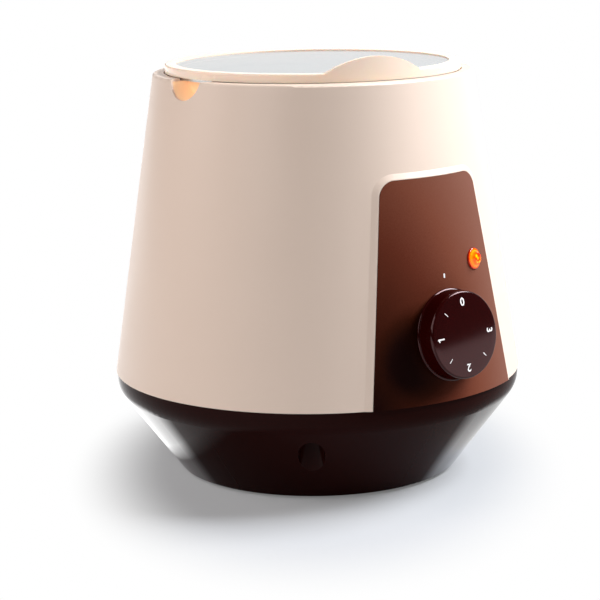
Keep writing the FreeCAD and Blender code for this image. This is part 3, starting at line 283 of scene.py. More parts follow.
for name, across, rise, away, spread, power, colour in LAMPS:
    azimuth = AZIMUTH + math.radians(across)
    rise = math.radians(rise)
    way = Vector(
        (math.sin(azimuth) * math.cos(rise), -math.cos(azimuth) * math.cos(rise), math.sin(rise))
    )
    light = bpy.data.lights.new(name, "AREA")
    light.shape = "RECTANGLE"
    light.size = spread[0]
    light.size_y = spread[1]
    light.energy = power
    light.color = colour
    lamp = bpy.data.objects.new(name, light)
    lamp.location = MIDDLE + away * way
    lamp.rotation_euler = way.to_track_quat("Z", "Y").to_euler()
    scene.collection.objects.link(lamp)
    print(name, "at", [round(v, 2) for v in lamp.location])

# %% [markdown]
# ## Effects that several finishes share
#
# Moulded plastic is never optically flat: its skin has a fine grain and a slow ripple from the
# tool. Hands leave faint smears that only the gloss shows. Both are node groups, built once and
# placed in each material with values of its own.


# %% Helpers for groups
def start_group(name, inputs, outputs):
    """A node group with named float sockets."""
    group = bpy.data.node_groups.new(name, "ShaderNodeTree")
    for socket_name, default in inputs.items():
        socket = group.interface.new_socket(
            socket_name, in_out="INPUT", socket_type="NodeSocketFloat"
        )
        socket.default_value = default
    for socket_name in outputs:
        group.interface.new_socket(socket_name, in_out="OUTPUT", socket_type="NodeSocketFloat")
    return group, group.nodes.new("NodeGroupInput"), group.nodes.new("NodeGroupOutput")


def use_group(tree, group, **values):
    """Places a node group in a material with values of its own."""
    return add_node(tree, "ShaderNodeGroup", values, node_tree=group)


# %% Moulded skin
moulded_skin, group_in, group_out = start_group(
    "moulded_skin", {"Grain Scale": 2600.0, "Ripple Scale": 38.0, "Ripple Share": 0.6}, ["Height"]
)
place = add_node(moulded_skin, "ShaderNodeTexCoord")
grain = add_node(moulded_skin, "ShaderNodeTexNoise", {"Detail": 2.0, "Roughness": 0.55})
ripple = add_node(moulded_skin, "ShaderNodeTexNoise", {"Detail": 1.0, "Roughness": 0.4})
both = add_node(moulded_skin, "ShaderNodeMix", data_type="FLOAT")
wire(
    moulded_skin,
    (place, "Object", grain, "Vector"),
    (place, "Object", ripple, "Vector"),
    (group_in, "Grain Scale", grain, "Scale"),
    (group_in, "Ripple Scale", ripple, "Scale"),
    (group_in, "Ripple Share", both, "Factor"),
    (grain, "Fac", both, "A"),
    (ripple, "Fac", both, "B"),
    (both, "Result", group_out, "Height"),
)
print(moulded_skin.name, "has", len(moulded_skin.nodes), "nodes")

# %% Handling marks
handling_marks, group_in, group_out = start_group(
    "handling_marks", {"Smear Scale": 22.0, "Sheen": 0.2, "Dull": 0.35}, ["Roughness"]
)
place = add_node(handling_marks, "ShaderNodeTexCoord")
smear = add_node(handling_marks, "ShaderNodeTexNoise", {"Detail": 3.0, "Roughness": 0.5})
level = rescale(handling_marks, (0.25, 0.75), smooth=True)
wire(
    handling_marks,
    (place, "Object", smear, "Vector"),
    (group_in, "Smear Scale", smear, "Scale"),
    (smear, "Fac", level, "Value"),
    (group_in, "Sheen", level, "To Min"),
    (group_in, "Dull", level, "To Max"),
    (level, "Result", group_out, "Roughness"),
)
print(handling_marks.name, "has", len(handling_marks.nodes), "nodes")

# %% [markdown]
# ## Moulded plastics
#
# One recipe makes all the moulded parts: two close tones that drift into each other, a roughness
# that follows the handling marks, and a shallow bump from the moulded skin. The numbers differ
# between the cream housing, the lid, the dark base, the knob and the small black and white parts.
# The housing, the base and the knob get one more effect each.


# %% Two tones
def two_tones(tree, first, second):
    """A mix of two colours, led by its factor."""
    mix = add_node(tree, "ShaderNodeMix", data_type="RGBA")
    mix.inputs["A"].default_value = (*first, 1)
    mix.inputs["B"].default_value = (*second, 1)
    return mix


def drifting_tones(tree, shader, first, second, scale, detail):
    """Two close colours that drift into each other, as the base colour; returns their noise."""
    place = add_node(tree, "ShaderNodeTexCoord")
    cloud = add_node(tree, "ShaderNodeTexNoise", {"Scale": scale, "Detail": detail})
    tones = two_tones(tree, first, second)
    wire(
        tree,
        (place, "Object", cloud, "Vector"),
        (cloud, "Fac", tones, "Factor"),
        (tones, "Result", shader, "Base Color"),
    )
    return cloud


# %% Recipe for moulded plastic
def moulded_surface(tree, shader, sheen, dull, bump):
    """Handling marks in the gloss, and the relief of a moulded skin."""
    marks = use_group(tree, handling_marks, Sheen=sheen, Dull=dull)
    skin = use_group(tree, moulded_skin)
    relief = add_node(tree, "ShaderNodeBump", {"Strength": bump, "Distance": 0.001})
    wire(
        tree,
        (marks, "Roughness", shader, "Roughness"),
        (skin, "Height", relief, "Height"),
        (relief, "Normal", shader, "Normal"),
    )


def moulded_plastic(name, tone, second_tone, sheen, dull, bump=0.02, drift=9.0, **values):
    """Two close tones with the moulded surface; further values go to the shader's sockets."""
    material, tree, shader = start_material(name, **values)
    drifting_tones(tree, shader, tone, second_tone, drift, 3.0)
    moulded_surface(tree, shader, sheen, dull, bump)
    return material


# %% Housing
SEAM_RADIUS = 0.115
SEAM_HEIGHT = 0.0575
SKIN_LEAN = 0.153389


def dress(material, *names):
    """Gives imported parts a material."""
    for name in names:
        slots = parts[name].data.materials
        slots.clear()
        slots.append(material)
    print(material.name, "on", ", ".join(names))


cream_plastic = moulded_plastic(
    "cream_plastic",
    (0.81, 0.650, 0.540),
    (0.80, 0.635, 0.525),
    sheen=0.34,
    dull=0.40,
    Specular_IOR_Level=0.5,
)
dress(cream_plastic, "housing")

# %% [markdown]
# The two finger scoops are cut right through the rim's skin, down to a thin inner collar. The
# light that the collar lets through is painted: the scoops get an orange colour and a painted warm
# glow where the rest is cream. The scoops are found by place: they lie deeper than the cone of the
# skin, in a band just under the rim. The lid is thin too and gets a faint painted glow in the same
# colour.


# %% Way from the axis
def measure_from_axis(tree, source, output):
    """Splits a point, lays it flat and measures its way from the Z axis: three nodes."""
    apart = add_node(tree, "ShaderNodeSeparateXYZ")
    flat = add_node(tree, "ShaderNodeCombineXYZ")
    away = add_node(tree, "ShaderNodeVectorMath", operation="LENGTH")
    wire(
        tree,
        (source, output, apart, 0),
        (apart, "X", flat, "X"),
        (apart, "Y", flat, "Y"),
        (flat, 0, away, 0),
    )
    return apart, flat, away


# %% Painted warm light in the scoops
SCOOP_LOW = 0.2140
SCOOP_HIGH = 0.2244
SCOOP_DEPTH = (0.0006, 0.0020)
# Painted light: the orange and the glow stand in for light that comes through the collar.
SCOOP_PAINTED_LIGHT_COLOUR = (0.98, 0.60, 0.30)
SCOOP_PAINTED_GLOW = 0.30
PAINTED_WARM_GLOW = (1.0, 0.72, 0.48, 1)

tree = cream_plastic.node_tree
place = add_node(tree, "ShaderNodeTexCoord")
apart, _, radius = measure_from_axis(tree, place, "Object")
skin_radius = add_node(
    tree,
    "ShaderNodeMath",
    {1: -SKIN_LEAN, 2: SEAM_RADIUS + SEAM_HEIGHT * SKIN_LEAN},
    operation="MULTIPLY_ADD",
)
depth = add_node(tree, "ShaderNodeMath", operation="SUBTRACT")
deep = rescale(tree, SCOOP_DEPTH, smooth=True)
above = add_node(tree, "ShaderNodeMath", {1: SCOOP_LOW}, operation="GREATER_THAN")
below = add_node(tree, "ShaderNodeMath", {1: SCOOP_HIGH}, operation="LESS_THAN")
band = add_node(tree, "ShaderNodeMath", operation="MULTIPLY")
scoop = add_node(tree, "ShaderNodeMath", operation="MULTIPLY")
# Painted light: the scoops turn orange and glow warm, for light that comes through the collar.
painted_warmth = two_tones(tree, SCOOP_PAINTED_LIGHT_COLOUR, SCOOP_PAINTED_LIGHT_COLOUR)
glow = add_node(tree, "ShaderNodeMath", {1: SCOOP_PAINTED_GLOW}, operation="MULTIPLY")
shader = tree.nodes["Principled BSDF"]
shader.inputs["Emission Color"].default_value = PAINTED_WARM_GLOW
tree.links.new(shader.inputs["Base Color"].links[0].from_socket, painted_warmth.inputs["A"])
wire(
    tree,
    (apart, "Z", skin_radius, 0),
    (skin_radius, 0, depth, 0),
    (radius, "Value", depth, 1),
    (depth, 0, deep, "Value"),
    (apart, "Z", above, 0),
    (apart, "Z", below, 0),
    (above, 0, band, 0),
    (below, 0, band, 1),
    (band, 0, scoop, 0),
    (deep, "Result", scoop, 1),
    (scoop, 0, painted_warmth, "Factor"),
    (painted_warmth, "Result", shader, "Base Color"),
    (scoop, 0, glow, 0),
    (glow, 0, shader, "Emission Strength"),
)
print("scoops between", SCOOP_LOW, "and", SCOOP_HIGH, "m")

# %% [markdown]
# The base is nearly black, with a hard gloss that shows only where its lower flank turns away: a
# second coat comes in with the angle of view and ends at the soft shoulder under the seam. The
# knob's gloss comes from an attribute of its mesh, because its narrow bands shine and its side
# doesn't.

# %% Lid
lid_plastic = moulded_plastic(
    "lid_plastic",
    (0.89, 0.735, 0.610),
    (0.87, 0.715, 0.590),
    sheen=0.20,
    dull=0.30,
    Specular_IOR_Level=0.5,
    # Painted glow: a faint warm light given off by the lid, for light that comes through it.
    Emission_Color=PAINTED_WARM_GLOW,
    Emission_Strength=0.07,
    Subsurface_Weight=0.25,
    Subsurface_Scale=0.004,
)
dress(lid_plastic, "lid_frame")

# %% Base
SHOULDER_TOP = 0.0490
SHOULDER_LOW = 0.0455
TURNED_AWAY = (0.65, 0.73)

base_plastic = moulded_plastic(
    "base_plastic",
    (0.013, 0.0022, 0.0016),
    (0.020, 0.0036, 0.0026),
    sheen=0.08,
    dull=0.14,
    bump=0.004,
    Specular_IOR_Level=0.03,
    Coat_IOR=2.2,
    Coat_Roughness=0.05,
)
tree = base_plastic.node_tree
edge_on = add_node(tree, "ShaderNodeLayerWeight", {"Blend": 0.5})
polish = rescale(tree, TURNED_AWAY)
place = add_node(tree, "ShaderNodeTexCoord")
apart = add_node(tree, "ShaderNodeSeparateXYZ")
flank = rescale(tree, (SHOULDER_TOP, SHOULDER_LOW))
coat = add_node(tree, "ShaderNodeMath", operation="MULTIPLY")
wire(
    tree,
    (edge_on, "Facing", polish, "Value"),
    (place, "Object", apart, 0),
    (apart, "Z", flank, "Value"),
    (polish, "Result", coat, 0),
    (flank, "Result", coat, 1),
    (coat, 0, tree.nodes["Principled BSDF"], "Coat Weight"),
)
dress(base_plastic, "base")

# %% Knob and small plastics
knob_plastic = moulded_plastic(
    "knob_plastic",
    (0.016, 0.0006, 0.0005),
    (0.021, 0.0009, 0.0007),
    sheen=0.09,
    dull=0.13,
    bump=0.006,
    Specular_Tint=(1.0, 0.62, 0.64, 1),
)
tree = knob_plastic.node_tree
shine = add_node(tree, "ShaderNodeAttribute", attribute_name="shine")
wire(tree, (shine, "Fac", tree.nodes["Principled BSDF"], "Specular IOR Level"))
print(knob_plastic.name, "reads its gloss from the mesh")

black_phenolic = moulded_plastic(
    "black_phenolic",
    (0.022, 0.021, 0.020),
    (0.034, 0.031, 0.029),
    sheen=0.34,
    dull=0.55,
    bump=0.05,
    drift=40.0,
    Specular_IOR_Level=0.4,
)
dress(black_phenolic, "thermostat_body", "cord_gland")

white_nylon = moulded_plastic(
    "white_nylon",
    (0.80, 0.79, 0.74),
    (0.74, 0.72, 0.66),
    sheen=0.32,
    dull=0.46,
    drift=60.0,
    Specular_IOR_Level=0.4,
    Subsurface_Weight=0.15,
    Subsurface_Scale=0.002,
)
dress(white_nylon, "pilot_body", "terminal_block")

# %% [markdown]
# ## Printed panel
#
# The panel carries a printed film. Its brown is not one colour: it is almost black in the lower
# left corner and grows lighter and warmer away from there. Beside the knob, on its lower left
# side, a painted shadow of the knob darkens it further. Both distances are read from the object's
# own coordinates and pick the colour on a ramp, and a fine noise keeps the print from looking like
# paint on glass.


# %% Colour ramp
def colour_stops(tree, stops):
    """A colour ramp with the given stops."""
    ramp = add_node(tree, "ShaderNodeValToRGB")
    for number, (at, colour) in enumerate(stops):
        stop = ramp.color_ramp.elements[number] if number < 2 else ramp.color_ramp.elements.new(at)
        stop.position = at
        stop.color = (*colour, 1)
    return ramp


# %% Panel colour
DARK_CORNER = (-0.048, -0.105, 0.058)
ACROSS = 1.3
UPWARDS = 0.7
CORNER_REACH = 0.147
# Painted shadow of the knob: its centre, its strength and its reach.
BESIDE_KNOB = (-0.018, -0.110, 0.084)
KNOB_PAINTED_SHADOW = -0.22
KNOB_PAINTED_SHADOW_REACH = (0.014, 0.030)
UNEVENNESS = 0.06
# Colours by distance from the lower left corner: darker towards that corner, lighter and warmer away
# from it.
PANEL_TONES = [
    (0.0, (0.008, 0.0006, 0.0001)),
    (0.08, (0.020, 0.0030, 0.0005)),
    (0.17, (0.033, 0.0050, 0.0010)),
    (0.42, (0.105, 0.022, 0.010)),
    (0.60, (0.165, 0.048, 0.026)),
    (0.82, (0.195, 0.078, 0.052)),
    (1.0, (0.220, 0.092, 0.068)),
]

panel_film, tree, shader = start_material("panel_film", Specular_IOR_Level=0.05)
place = add_node(tree, "ShaderNodeTexCoord")
corner = add_node(tree, "ShaderNodeMapping", vector_type="TEXTURE")
corner.inputs["Location"].default_value = DARK_CORNER
corner.inputs["Scale"].default_value = (1 / ACROSS, 1, 1 / UPWARDS)
distance = add_node(tree, "ShaderNodeVectorMath", operation="LENGTH")
spread = rescale(tree, (0.0, CORNER_REACH))
dots = add_node(tree, "ShaderNodeTexNoise", {"Scale": 1500.0, "Detail": 2.0})
unevenness = rescale(tree, result=(-UNEVENNESS, UNEVENNESS))
# Painted shadow of the knob: the colour is darkest just left of and below it.
beside = add_node(tree, "ShaderNodeVectorMath", operation="DISTANCE")
beside.inputs[1].default_value = BESIDE_KNOB
shade = rescale(tree, KNOB_PAINTED_SHADOW_REACH, (KNOB_PAINTED_SHADOW, 0.0), smooth=True)
with_painted_shadow = add_node(tree, "ShaderNodeMath", operation="ADD")
share = add_node(tree, "ShaderNodeMath", operation="ADD", use_clamp=True)
panel_tones = colour_stops(tree, PANEL_TONES)
wire(
    tree,
    (place, "Object", corner, "Vector"),
    (corner, "Vector", distance, 0),
    (distance, "Value", spread, "Value"),
    (place, "Object", dots, "Vector"),
    (dots, "Fac", unevenness, "Value"),
    (place, "Object", beside, 0),
    (beside, "Value", shade, "Value"),
    (spread, "Result", with_painted_shadow, 0),
    (shade, "Result", with_painted_shadow, 1),
    (with_painted_shadow, 0, share, 0),
    (unevenness, "Result", share, 1),
    (share, 0, panel_tones, "Fac"),
    (panel_tones, "Color", shader, "Base Color"),
)
moulded_surface(tree, shader, sheen=0.50, dull=0.58, bump=0.02)
dress(panel_film, "control_panel")

# %% [markdown]
# ## Metals
#
# The pot, its flange and the well are spun and turned, so their fine lines run round the axis.
# The pattern is a noise read by distance from the axis and by height, with only a trace of the
# real direction, which lets each ring fade in and out. Sheet and plated parts have straight
# lines from the rolling mill instead: the same noise, stretched along one direction.

# %% Turned lines
turned_lines, group_in, group_out = start_group(
    "turned_lines", {"Line Scale": 900.0, "Wander": 6.0}, ["Height"]
)
place = add_node(turned_lines, "ShaderNodeTexCoord")
apart, _, distance = measure_from_axis(turned_lines, place, "Object")
ring = add_node(turned_lines, "ShaderNodeCombineXYZ")
fine = add_node(turned_lines, "ShaderNodeVectorMath", operation="SCALE")
loose = add_node(turned_lines, "ShaderNodeVectorMath", operation="SCALE")
together = add_node(turned_lines, "ShaderNodeVectorMath", operation="ADD")
lines = add_node(turned_lines, "ShaderNodeTexNoise", {"Scale": 1.0, "Detail": 3.0})
wire(
    turned_lines,
    (distance, "Value", ring, "X"),
    (apart, "Z", ring, "Y"),
    (ring, 0, fine, 0),
    (group_in, "Line Scale", fine, "Scale"),
    (place, "Object", loose, 0),
    (group_in, "Wander", loose, "Scale"),
    (fine, 0, together, 0),
    (loose, 0, together, 1),
    (together, 0, lines, "Vector"),
    (lines, "Fac", group_out, "Height"),
)
print(turned_lines.name, "has", len(turned_lines.nodes), "nodes")

# %% Rolled lines
rolled_lines, group_in, group_out = start_group(
    "rolled_lines", {"Line Scale": 1400.0, "Stretch": 0.03}, ["Height"]
)
place = add_node(rolled_lines, "ShaderNodeTexCoord")
apart = add_node(rolled_lines, "ShaderNodeSeparateXYZ")
shorter = add_node(rolled_lines, "ShaderNodeMath", operation="MULTIPLY")
joined = add_node(rolled_lines, "ShaderNodeCombineXYZ")
lines = add_node(rolled_lines, "ShaderNodeTexNoise", {"Detail": 2.0})
wire(
    rolled_lines,
    (place, "Object", apart, 0),
    (apart, "X", shorter, 0),
    (group_in, "Stretch", shorter, 1),
    (shorter, 0, joined, "X"),
    (apart, "Y", joined, "Y"),
    (apart, "Z", joined, "Z"),
    (joined, 0, lines, "Vector"),
    (group_in, "Line Scale", lines, "Scale"),
    (lines, "Fac", group_out, "Height"),
)
print(rolled_lines.name, "has", len(rolled_lines.nodes), "nodes")


# %% Recipe for metal
def lined_metal(name, tone, second_tone, gloss, lines, bump, drift):
    """Metal whose lines show in its gloss and relief, with a slow change of tint."""
    material, tree, shader = start_material(name, Metallic=1.0)
    drifting_tones(tree, shader, tone, second_tone, drift, 4.0)
    pattern = use_group(tree, lines)
    level = rescale(tree, result=gloss)
    relief = add_node(tree, "ShaderNodeBump", {"Strength": bump, "Distance": 0.0005})
    wire(
        tree,
        (pattern, "Height", level, "Value"),
        (level, "Result", shader, "Roughness"),
        (pattern, "Height", relief, "Height"),
        (relief, "Normal", shader, "Normal"),
    )
    return material


# %% Metal parts
# name, two tones, least and most roughness, lines, strength of the relief, scale of the tint
METALS = [
    ("spun_steel", (0.64, 0.63, 0.61), (0.57, 0.56, 0.54), (0.20, 0.38), turned_lines, 0.06, 30),
    ("spun_aluminium", (0.78, 0.78, 0.79), (0.70, 0.70, 0.72), (0.30, 0.50), turned_lines, 0.12, 30),
    ("rolled_steel", (0.60, 0.60, 0.60), (0.50, 0.50, 0.51), (0.26, 0.46), rolled_lines, 0.08, 30),
    ("zinc_plate", (0.62, 0.63, 0.66), (0.56, 0.54, 0.46), (0.22, 0.42), turned_lines, 0.05, 240),
    ("tinned_brass", (0.66, 0.64, 0.58), (0.62, 0.55, 0.38), (0.24, 0.44), rolled_lines, 0.05, 300),
    ("drawn_copper", (0.80, 0.42, 0.27), (0.62, 0.30, 0.20), (0.22, 0.46), rolled_lines, 0.05, 120),
]
METAL_PARTS = {
    "spun_steel": ["pot", "pot_flange"],
    "spun_aluminium": ["heating_well"],
    "rolled_steel": ["heat_shield", "thermal_cutout", "knob_clip", "sensor_clip"],
    "zinc_plate": [
        "base_screws",
        "well_screws",
        "thermostat_screws",
        "well_spacers",
        "thermostat_shaft",
        "pilot_retainer",
    ],
    "tinned_brass": ["thermostat_terminals"],
    "drawn_copper": ["sensor_bulb"],
}

for name, *recipe in METALS:
    dress(lined_metal(name, *recipe), *METAL_PARTS[name])

# %% [markdown]
# ## Soft technical parts
#
# Rubber and silicone are matt, with a fine pebble from the mould and a trace of dust that makes
# them paler in patches. The heater is a silicone mat, in which the glass cloth inside shows as a
# faint weave. The insulation is needled glass fibre: crossed threads, raised and uneven.


# %% Recipe for rubber
def soft_rubber(name, tone, dusty_tone, pebble=1800.0, bump=0.25, dull=0.75):
    """Matt rubber with a pebbled skin and patches of dust."""
    material, tree, shader = start_material(name, Specular_IOR_Level=0.3)
    place = add_node(tree, "ShaderNodeTexCoord")
    dust = add_node(tree, "ShaderNodeTexNoise", {"Scale": 60.0, "Detail": 6.0, "Roughness": 0.7})
    patch = rescale(tree, (0.45, 0.8))
    tones = two_tones(tree, tone, dusty_tone)
    pebbles = add_node(tree, "ShaderNodeTexVoronoi", {"Scale": pebble})
    gloss = rescale(tree, result=(dull - 0.15, dull))
    relief = add_node(tree, "ShaderNodeBump", {"Strength": bump, "Distance": 0.0003})
    wire(
        tree,
        (place, "Object", dust, "Vector"),
        (place, "Object", pebbles, "Vector"),
        (dust, "Fac", patch, "Value"),
        (patch, "Result", tones, "Factor"),
        (tones, "Result", shader, "Base Color"),
        (patch, "Result", gloss, "Value"),
        (gloss, "Result", shader, "Roughness"),
        (pebbles, "Distance", relief, "Height"),
        (relief, "Normal", shader, "Normal"),
    )
    return material


black_rubber = soft_rubber("black_rubber", (0.020, 0.020, 0.021), (0.075, 0.072, 0.068))
dress(black_rubber, "foot_front_right", "foot_back_right", "foot_back_left", "foot_front_left")
grey_silicone = soft_rubber("grey_silicone", (0.27, 0.27, 0.28), (0.36, 0.36, 0.36), dull=0.6)
dress(grey_silicone, "well_seal")


# %% Heater mat and insulation
WRAP_RADIUS = 0.075


def woven(name, tone, thread_tone, threads, bump, dull):
    """Crossed threads round the axis and up it, read from the direction and the height."""
    material, tree, shader = start_material(name, Specular_IOR_Level=0.3)
    place = add_node(tree, "ShaderNodeTexCoord")
    apart = add_node(tree, "ShaderNodeSeparateXYZ")
    turn = add_node(tree, "ShaderNodeMath", operation="ARCTAN2")
    along = add_node(tree, "ShaderNodeMath", {1: WRAP_RADIUS * threads}, operation="MULTIPLY")
    up_threads = add_node(tree, "ShaderNodeMath", {1: threads}, operation="MULTIPLY")
    first = add_node(tree, "ShaderNodeMath", operation="SINE")
    second = add_node(tree, "ShaderNodeMath", operation="SINE")
    weave = add_node(tree, "ShaderNodeMath", operation="MULTIPLY")
    fuzz = add_node(tree, "ShaderNodeTexNoise", {"Scale": 700.0, "Detail": 4.0})
    height = add_node(tree, "ShaderNodeMath", operation="ADD")
    shade = rescale(tree, (-0.6, 1.6))
    tones = two_tones(tree, tone, thread_tone)
    gloss = rescale(tree, result=(dull, dull - 0.2))
    relief = add_node(tree, "ShaderNodeBump", {"Strength": bump, "Distance": 0.0006})
    wire(
        tree,
        (place, "Object", apart, 0),
        (apart, "Y", turn, 0),
        (apart, "X", turn, 1),
        (turn, 0, along, 0),
        (apart, "Z", up_threads, 0),
        (along, 0, first, 0),
        (up_threads, 0, second, 0),
        (first, 0, weave, 0),
        (second, 0, weave, 1),
        (place, "Object", fuzz, "Vector"),
        (weave, 0, height, 0),
        (fuzz, "Fac", height, 1),
        (height, 0, shade, "Value"),
        (shade, "Result", tones, "Factor"),
        (tones, "Result", shader, "Base Color"),
        (fuzz, "Fac", gloss, "Value"),
        (gloss, "Result", shader, "Roughness"),
        (height, 0, relief, "Height"),
        (relief, "Normal", shader, "Normal"),
    )
    return material


heater_silicone = woven(
    "heater_silicone", (0.34, 0.055, 0.025), (0.46, 0.10, 0.05), threads=4200, bump=0.3, dull=0.6
)
dress(heater_silicone, "heater_band")
glass_fibre = woven(
    "glass_fibre", (0.62, 0.60, 0.52), (0.86, 0.85, 0.80), threads=1900, bump=0.8, dull=0.95
)
dress(glass_fibre, "insulation_sleeve")

# %% [markdown]
# ## Window of the lid
#
# Clear plastic lets light straight through, and shows its surface only at a glancing angle. A
# fresnel value drives the alpha of a plain plastic: seen from above it is clear and shows the pot,
# seen from the side it is a pale grey sheet with a sharp reflection, as in the photograph.

# %% Window
COVER = (0.10, 0.92)

clear_plastic, tree, shader = start_material("clear_plastic", Specular_IOR_Level=0.5)
drifting_tones(tree, shader, (0.35, 0.375, 0.385), (0.39, 0.405, 0.405), 30.0, 4.0)
edge_on = add_node(tree, "ShaderNodeLayerWeight", {"Blend": 0.55})
cover = rescale(tree, result=COVER)
marks = use_group(tree, handling_marks, Sheen=0.04, Dull=0.12)
wire(
    tree,
    (edge_on, "Facing", cover, "Value"),
    (cover, "Result", shader, "Alpha"),
    (marks, "Roughness", shader, "Roughness"),
)
dress(clear_plastic, "lid_window")

# %% [markdown]
# ## Pieces of their own
#
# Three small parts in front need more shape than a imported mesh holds: the knob, whose face is
# slightly crowned and carries its scale, the index mark above it and the cut lens of the pilot
# lamp. Each is modelled upright at the origin, along its own axis, and then placed in its mesh.


# %% Finishing a piece
def smooth_object(name, shape, place, material, body, sharp=35):
    """Puts a mesh in its place, smooths it except at its sharp edges and lets it ride."""
    bmesh.ops.transform(shape, matrix=place, verts=shape.verts)
    for face in shape.faces:
        face.smooth = True
    mesh = finished_mesh(shape, name)
    mesh.set_sharp_from_angle(angle=math.radians(sharp))
    mesh.materials.append(material)
    piece = bpy.data.objects.new(name, mesh)
    scene.collection.objects.link(piece)
    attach(piece, body)
    print(name, len(mesh.vertices), "vertices on", body)
    return piece


def turn_profile(profile, steps):
    """Turns (radius, height) points in millimetres about Z into a closed form."""
    shape = bmesh.new()
    corners = [shape.verts.new((radius * MM, 0, height * MM)) for radius, height in profile]
    edges = [shape.edges.new(pair) for pair in zip(corners, corners[1:])]
    bmesh.ops.spin(
        shape,
        geom=corners + edges,
        cent=(0, 0, 0),
        axis=(0, 0, 1),
        angle=2 * math.pi,
        steps=steps,
        use_merge=True,
    )
    bmesh.ops.remove_doubles(shape, verts=shape.verts, dist=1e-7)
    bmesh.ops.recalc_face_normals(shape, faces=shape.faces)
    return shape


def rings_at(shape, *places):
    """The ring edges at the given (radius, height), in millimetres."""
    found = []
    for edge in shape.edges:
        ends = [(Vector(v.co.xy).length / MM, v.co.z / MM) for v in edge.verts]
        for radius, height in places:
            if all(abs(r - radius) + abs(h - height) < 0.02 for r, h in ends):
                found.append(edge)
    return found


def soften(shape, edges, offset, segments):
    """Rounds edges; the offset is in millimetres."""
    bmesh.ops.bevel(
        shape,
        geom=edges,
        offset=offset * MM,
        segments=segments,
        profile=0.5,
        affect="EDGES",
        material=-1,
    )


# %% [markdown]
# ### Knob
#
# The knob is a moulded cup with a hub. Its section is drawn once and turned round. Its face is
# crowned, so the lower part mirrors the pale table. The front edge and the skirt's lip are
# bevelled, because those narrow bands catch the light in the photograph: a bright line over the
# face and another along the skirt.

# %% Knob
STAND_OFF_SKIN = Matrix.Rotation(math.pi / 2 - math.atan(SKIN_LEAN), 4, "X")
KNOB_SEAT = Vector((0, -109.739, 91.8)) * MM
KNOB_FRONT = 13.4
FACE_RADIUS = 23.2
CROWN = 0.9
EDGE_BEVEL = 1.1
LIP_RADIUS = 24.7
LIP_TOP = 2.9
LIP_LOW = 2.0
LIP_BEVEL = 0.3
ROOF = 9.6
HUB_RADIUS = 5.5
HUB_END = 3.0
BORE_RADIUS = 3.05
BORE_END = 10.4
TURN_STEPS = 144
SIDE_FROM = 23.0
SIDE_SPAN = (3.5, 11.0)
BAND_FROM = 22.2
FACE_SHINE = 0.9
SIDE_SHINE = 0.01
BAND_SHINE = 0.35


def crown_height(radius):
    """Height of the knob's crowned face, in millimetres, at a distance from its axis."""
    return KNOB_FRONT - CROWN * (radius / FACE_RADIUS) ** 2


knob_place = Matrix.Translation(KNOB_SEAT) @ STAND_OFF_SKIN
section = [(radius, crown_height(radius)) for radius in (0, 5, 10, 15, 19, FACE_RADIUS)]
section += [(23.33, 10.8), (23.94, 4.0), (24.0, 3.3)]
section += [(LIP_RADIUS, LIP_TOP), (LIP_RADIUS, LIP_LOW), (22.7, LIP_LOW), (21.2, ROOF)]
section += [(HUB_RADIUS, ROOF), (HUB_RADIUS, HUB_END), (BORE_RADIUS, HUB_END)]
section += [(BORE_RADIUS, BORE_END), (0, BORE_END)]
shape = turn_profile(section, TURN_STEPS)
soften(shape, rings_at(shape, (FACE_RADIUS, crown_height(FACE_RADIUS))), EDGE_BEVEL, 6)
soften(shape, rings_at(shape, (LIP_RADIUS, LIP_TOP), (LIP_RADIUS, LIP_LOW)), LIP_BEVEL, 3)
shine = shape.verts.layers.float.new("shine")
for vert in shape.verts:
    out = Vector(vert.co.xy).length / MM
    on_side = out > SIDE_FROM and SIDE_SPAN[0] < vert.co.z / MM < SIDE_SPAN[1]
    on_band = out > BAND_FROM and not on_side
    vert[shine] = SIDE_SHINE if on_side else BAND_SHINE if on_band else FACE_SHINE
knob = smooth_object("knob_cap", shape, knob_place, knob_plastic, "knob_train", sharp=50)
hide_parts("knob")

# %% [markdown]
# ### Scale on the knob
#
# The numbers are printed, so they are a film of paint that follows the crown. A text outline is
# made a mesh, turned to its place with its top outwards, and each corner is set just over the
# face. A short wall under it closes the form. The font's 1 is a plain bar, so it gets a short
# slanted flag. Ticks stand halfway between the numbers, except between 3 and 0, where the knob
# doesn't turn.

# %% Print colour
print_white, tree, shader = start_material("print_white", Specular_IOR_Level=0.4)
wear = drifting_tones(tree, shader, (0.93, 0.91, 0.89), (0.84, 0.81, 0.79), 900.0, 3.0)
dull = rescale(tree, result=(0.4, 0.6))
wire(tree, (wear, "Fac", dull, "Value"), (dull, "Result", shader, "Roughness"))
print("print colour:", print_white.name)

# %% Print on the crown
FILM = 0.05
ROOT = 0.15
SCALE_RADIUS = 17.3
QUARTER_TURN = math.pi / 2


def printed_on_knob(outline, turn):
    """A flat outline about the origin, turned to its place and laid on the crown."""
    shape = bmesh.new()
    shape.from_mesh(outline)
    bmesh.ops.remove_doubles(shape, verts=shape.verts, dist=1e-6)
    move = Matrix.Rotation(turn, 4, "Z") @ Matrix.Translation((0, SCALE_RADIUS * MM, 0))
    bmesh.ops.transform(shape, matrix=move, verts=shape.verts)
    sides = bmesh.ops.extrude_face_region(shape, geom=shape.faces)
    upper = {v for v in sides["geom"] if isinstance(v, bmesh.types.BMVert)}
    for vert in shape.verts:
        over = FILM if vert in upper else -ROOT
        vert.co.z = (crown_height(Vector(vert.co.xy).length / MM) + over) * MM
    bmesh.ops.recalc_face_normals(shape, faces=shape.faces)
    return shape


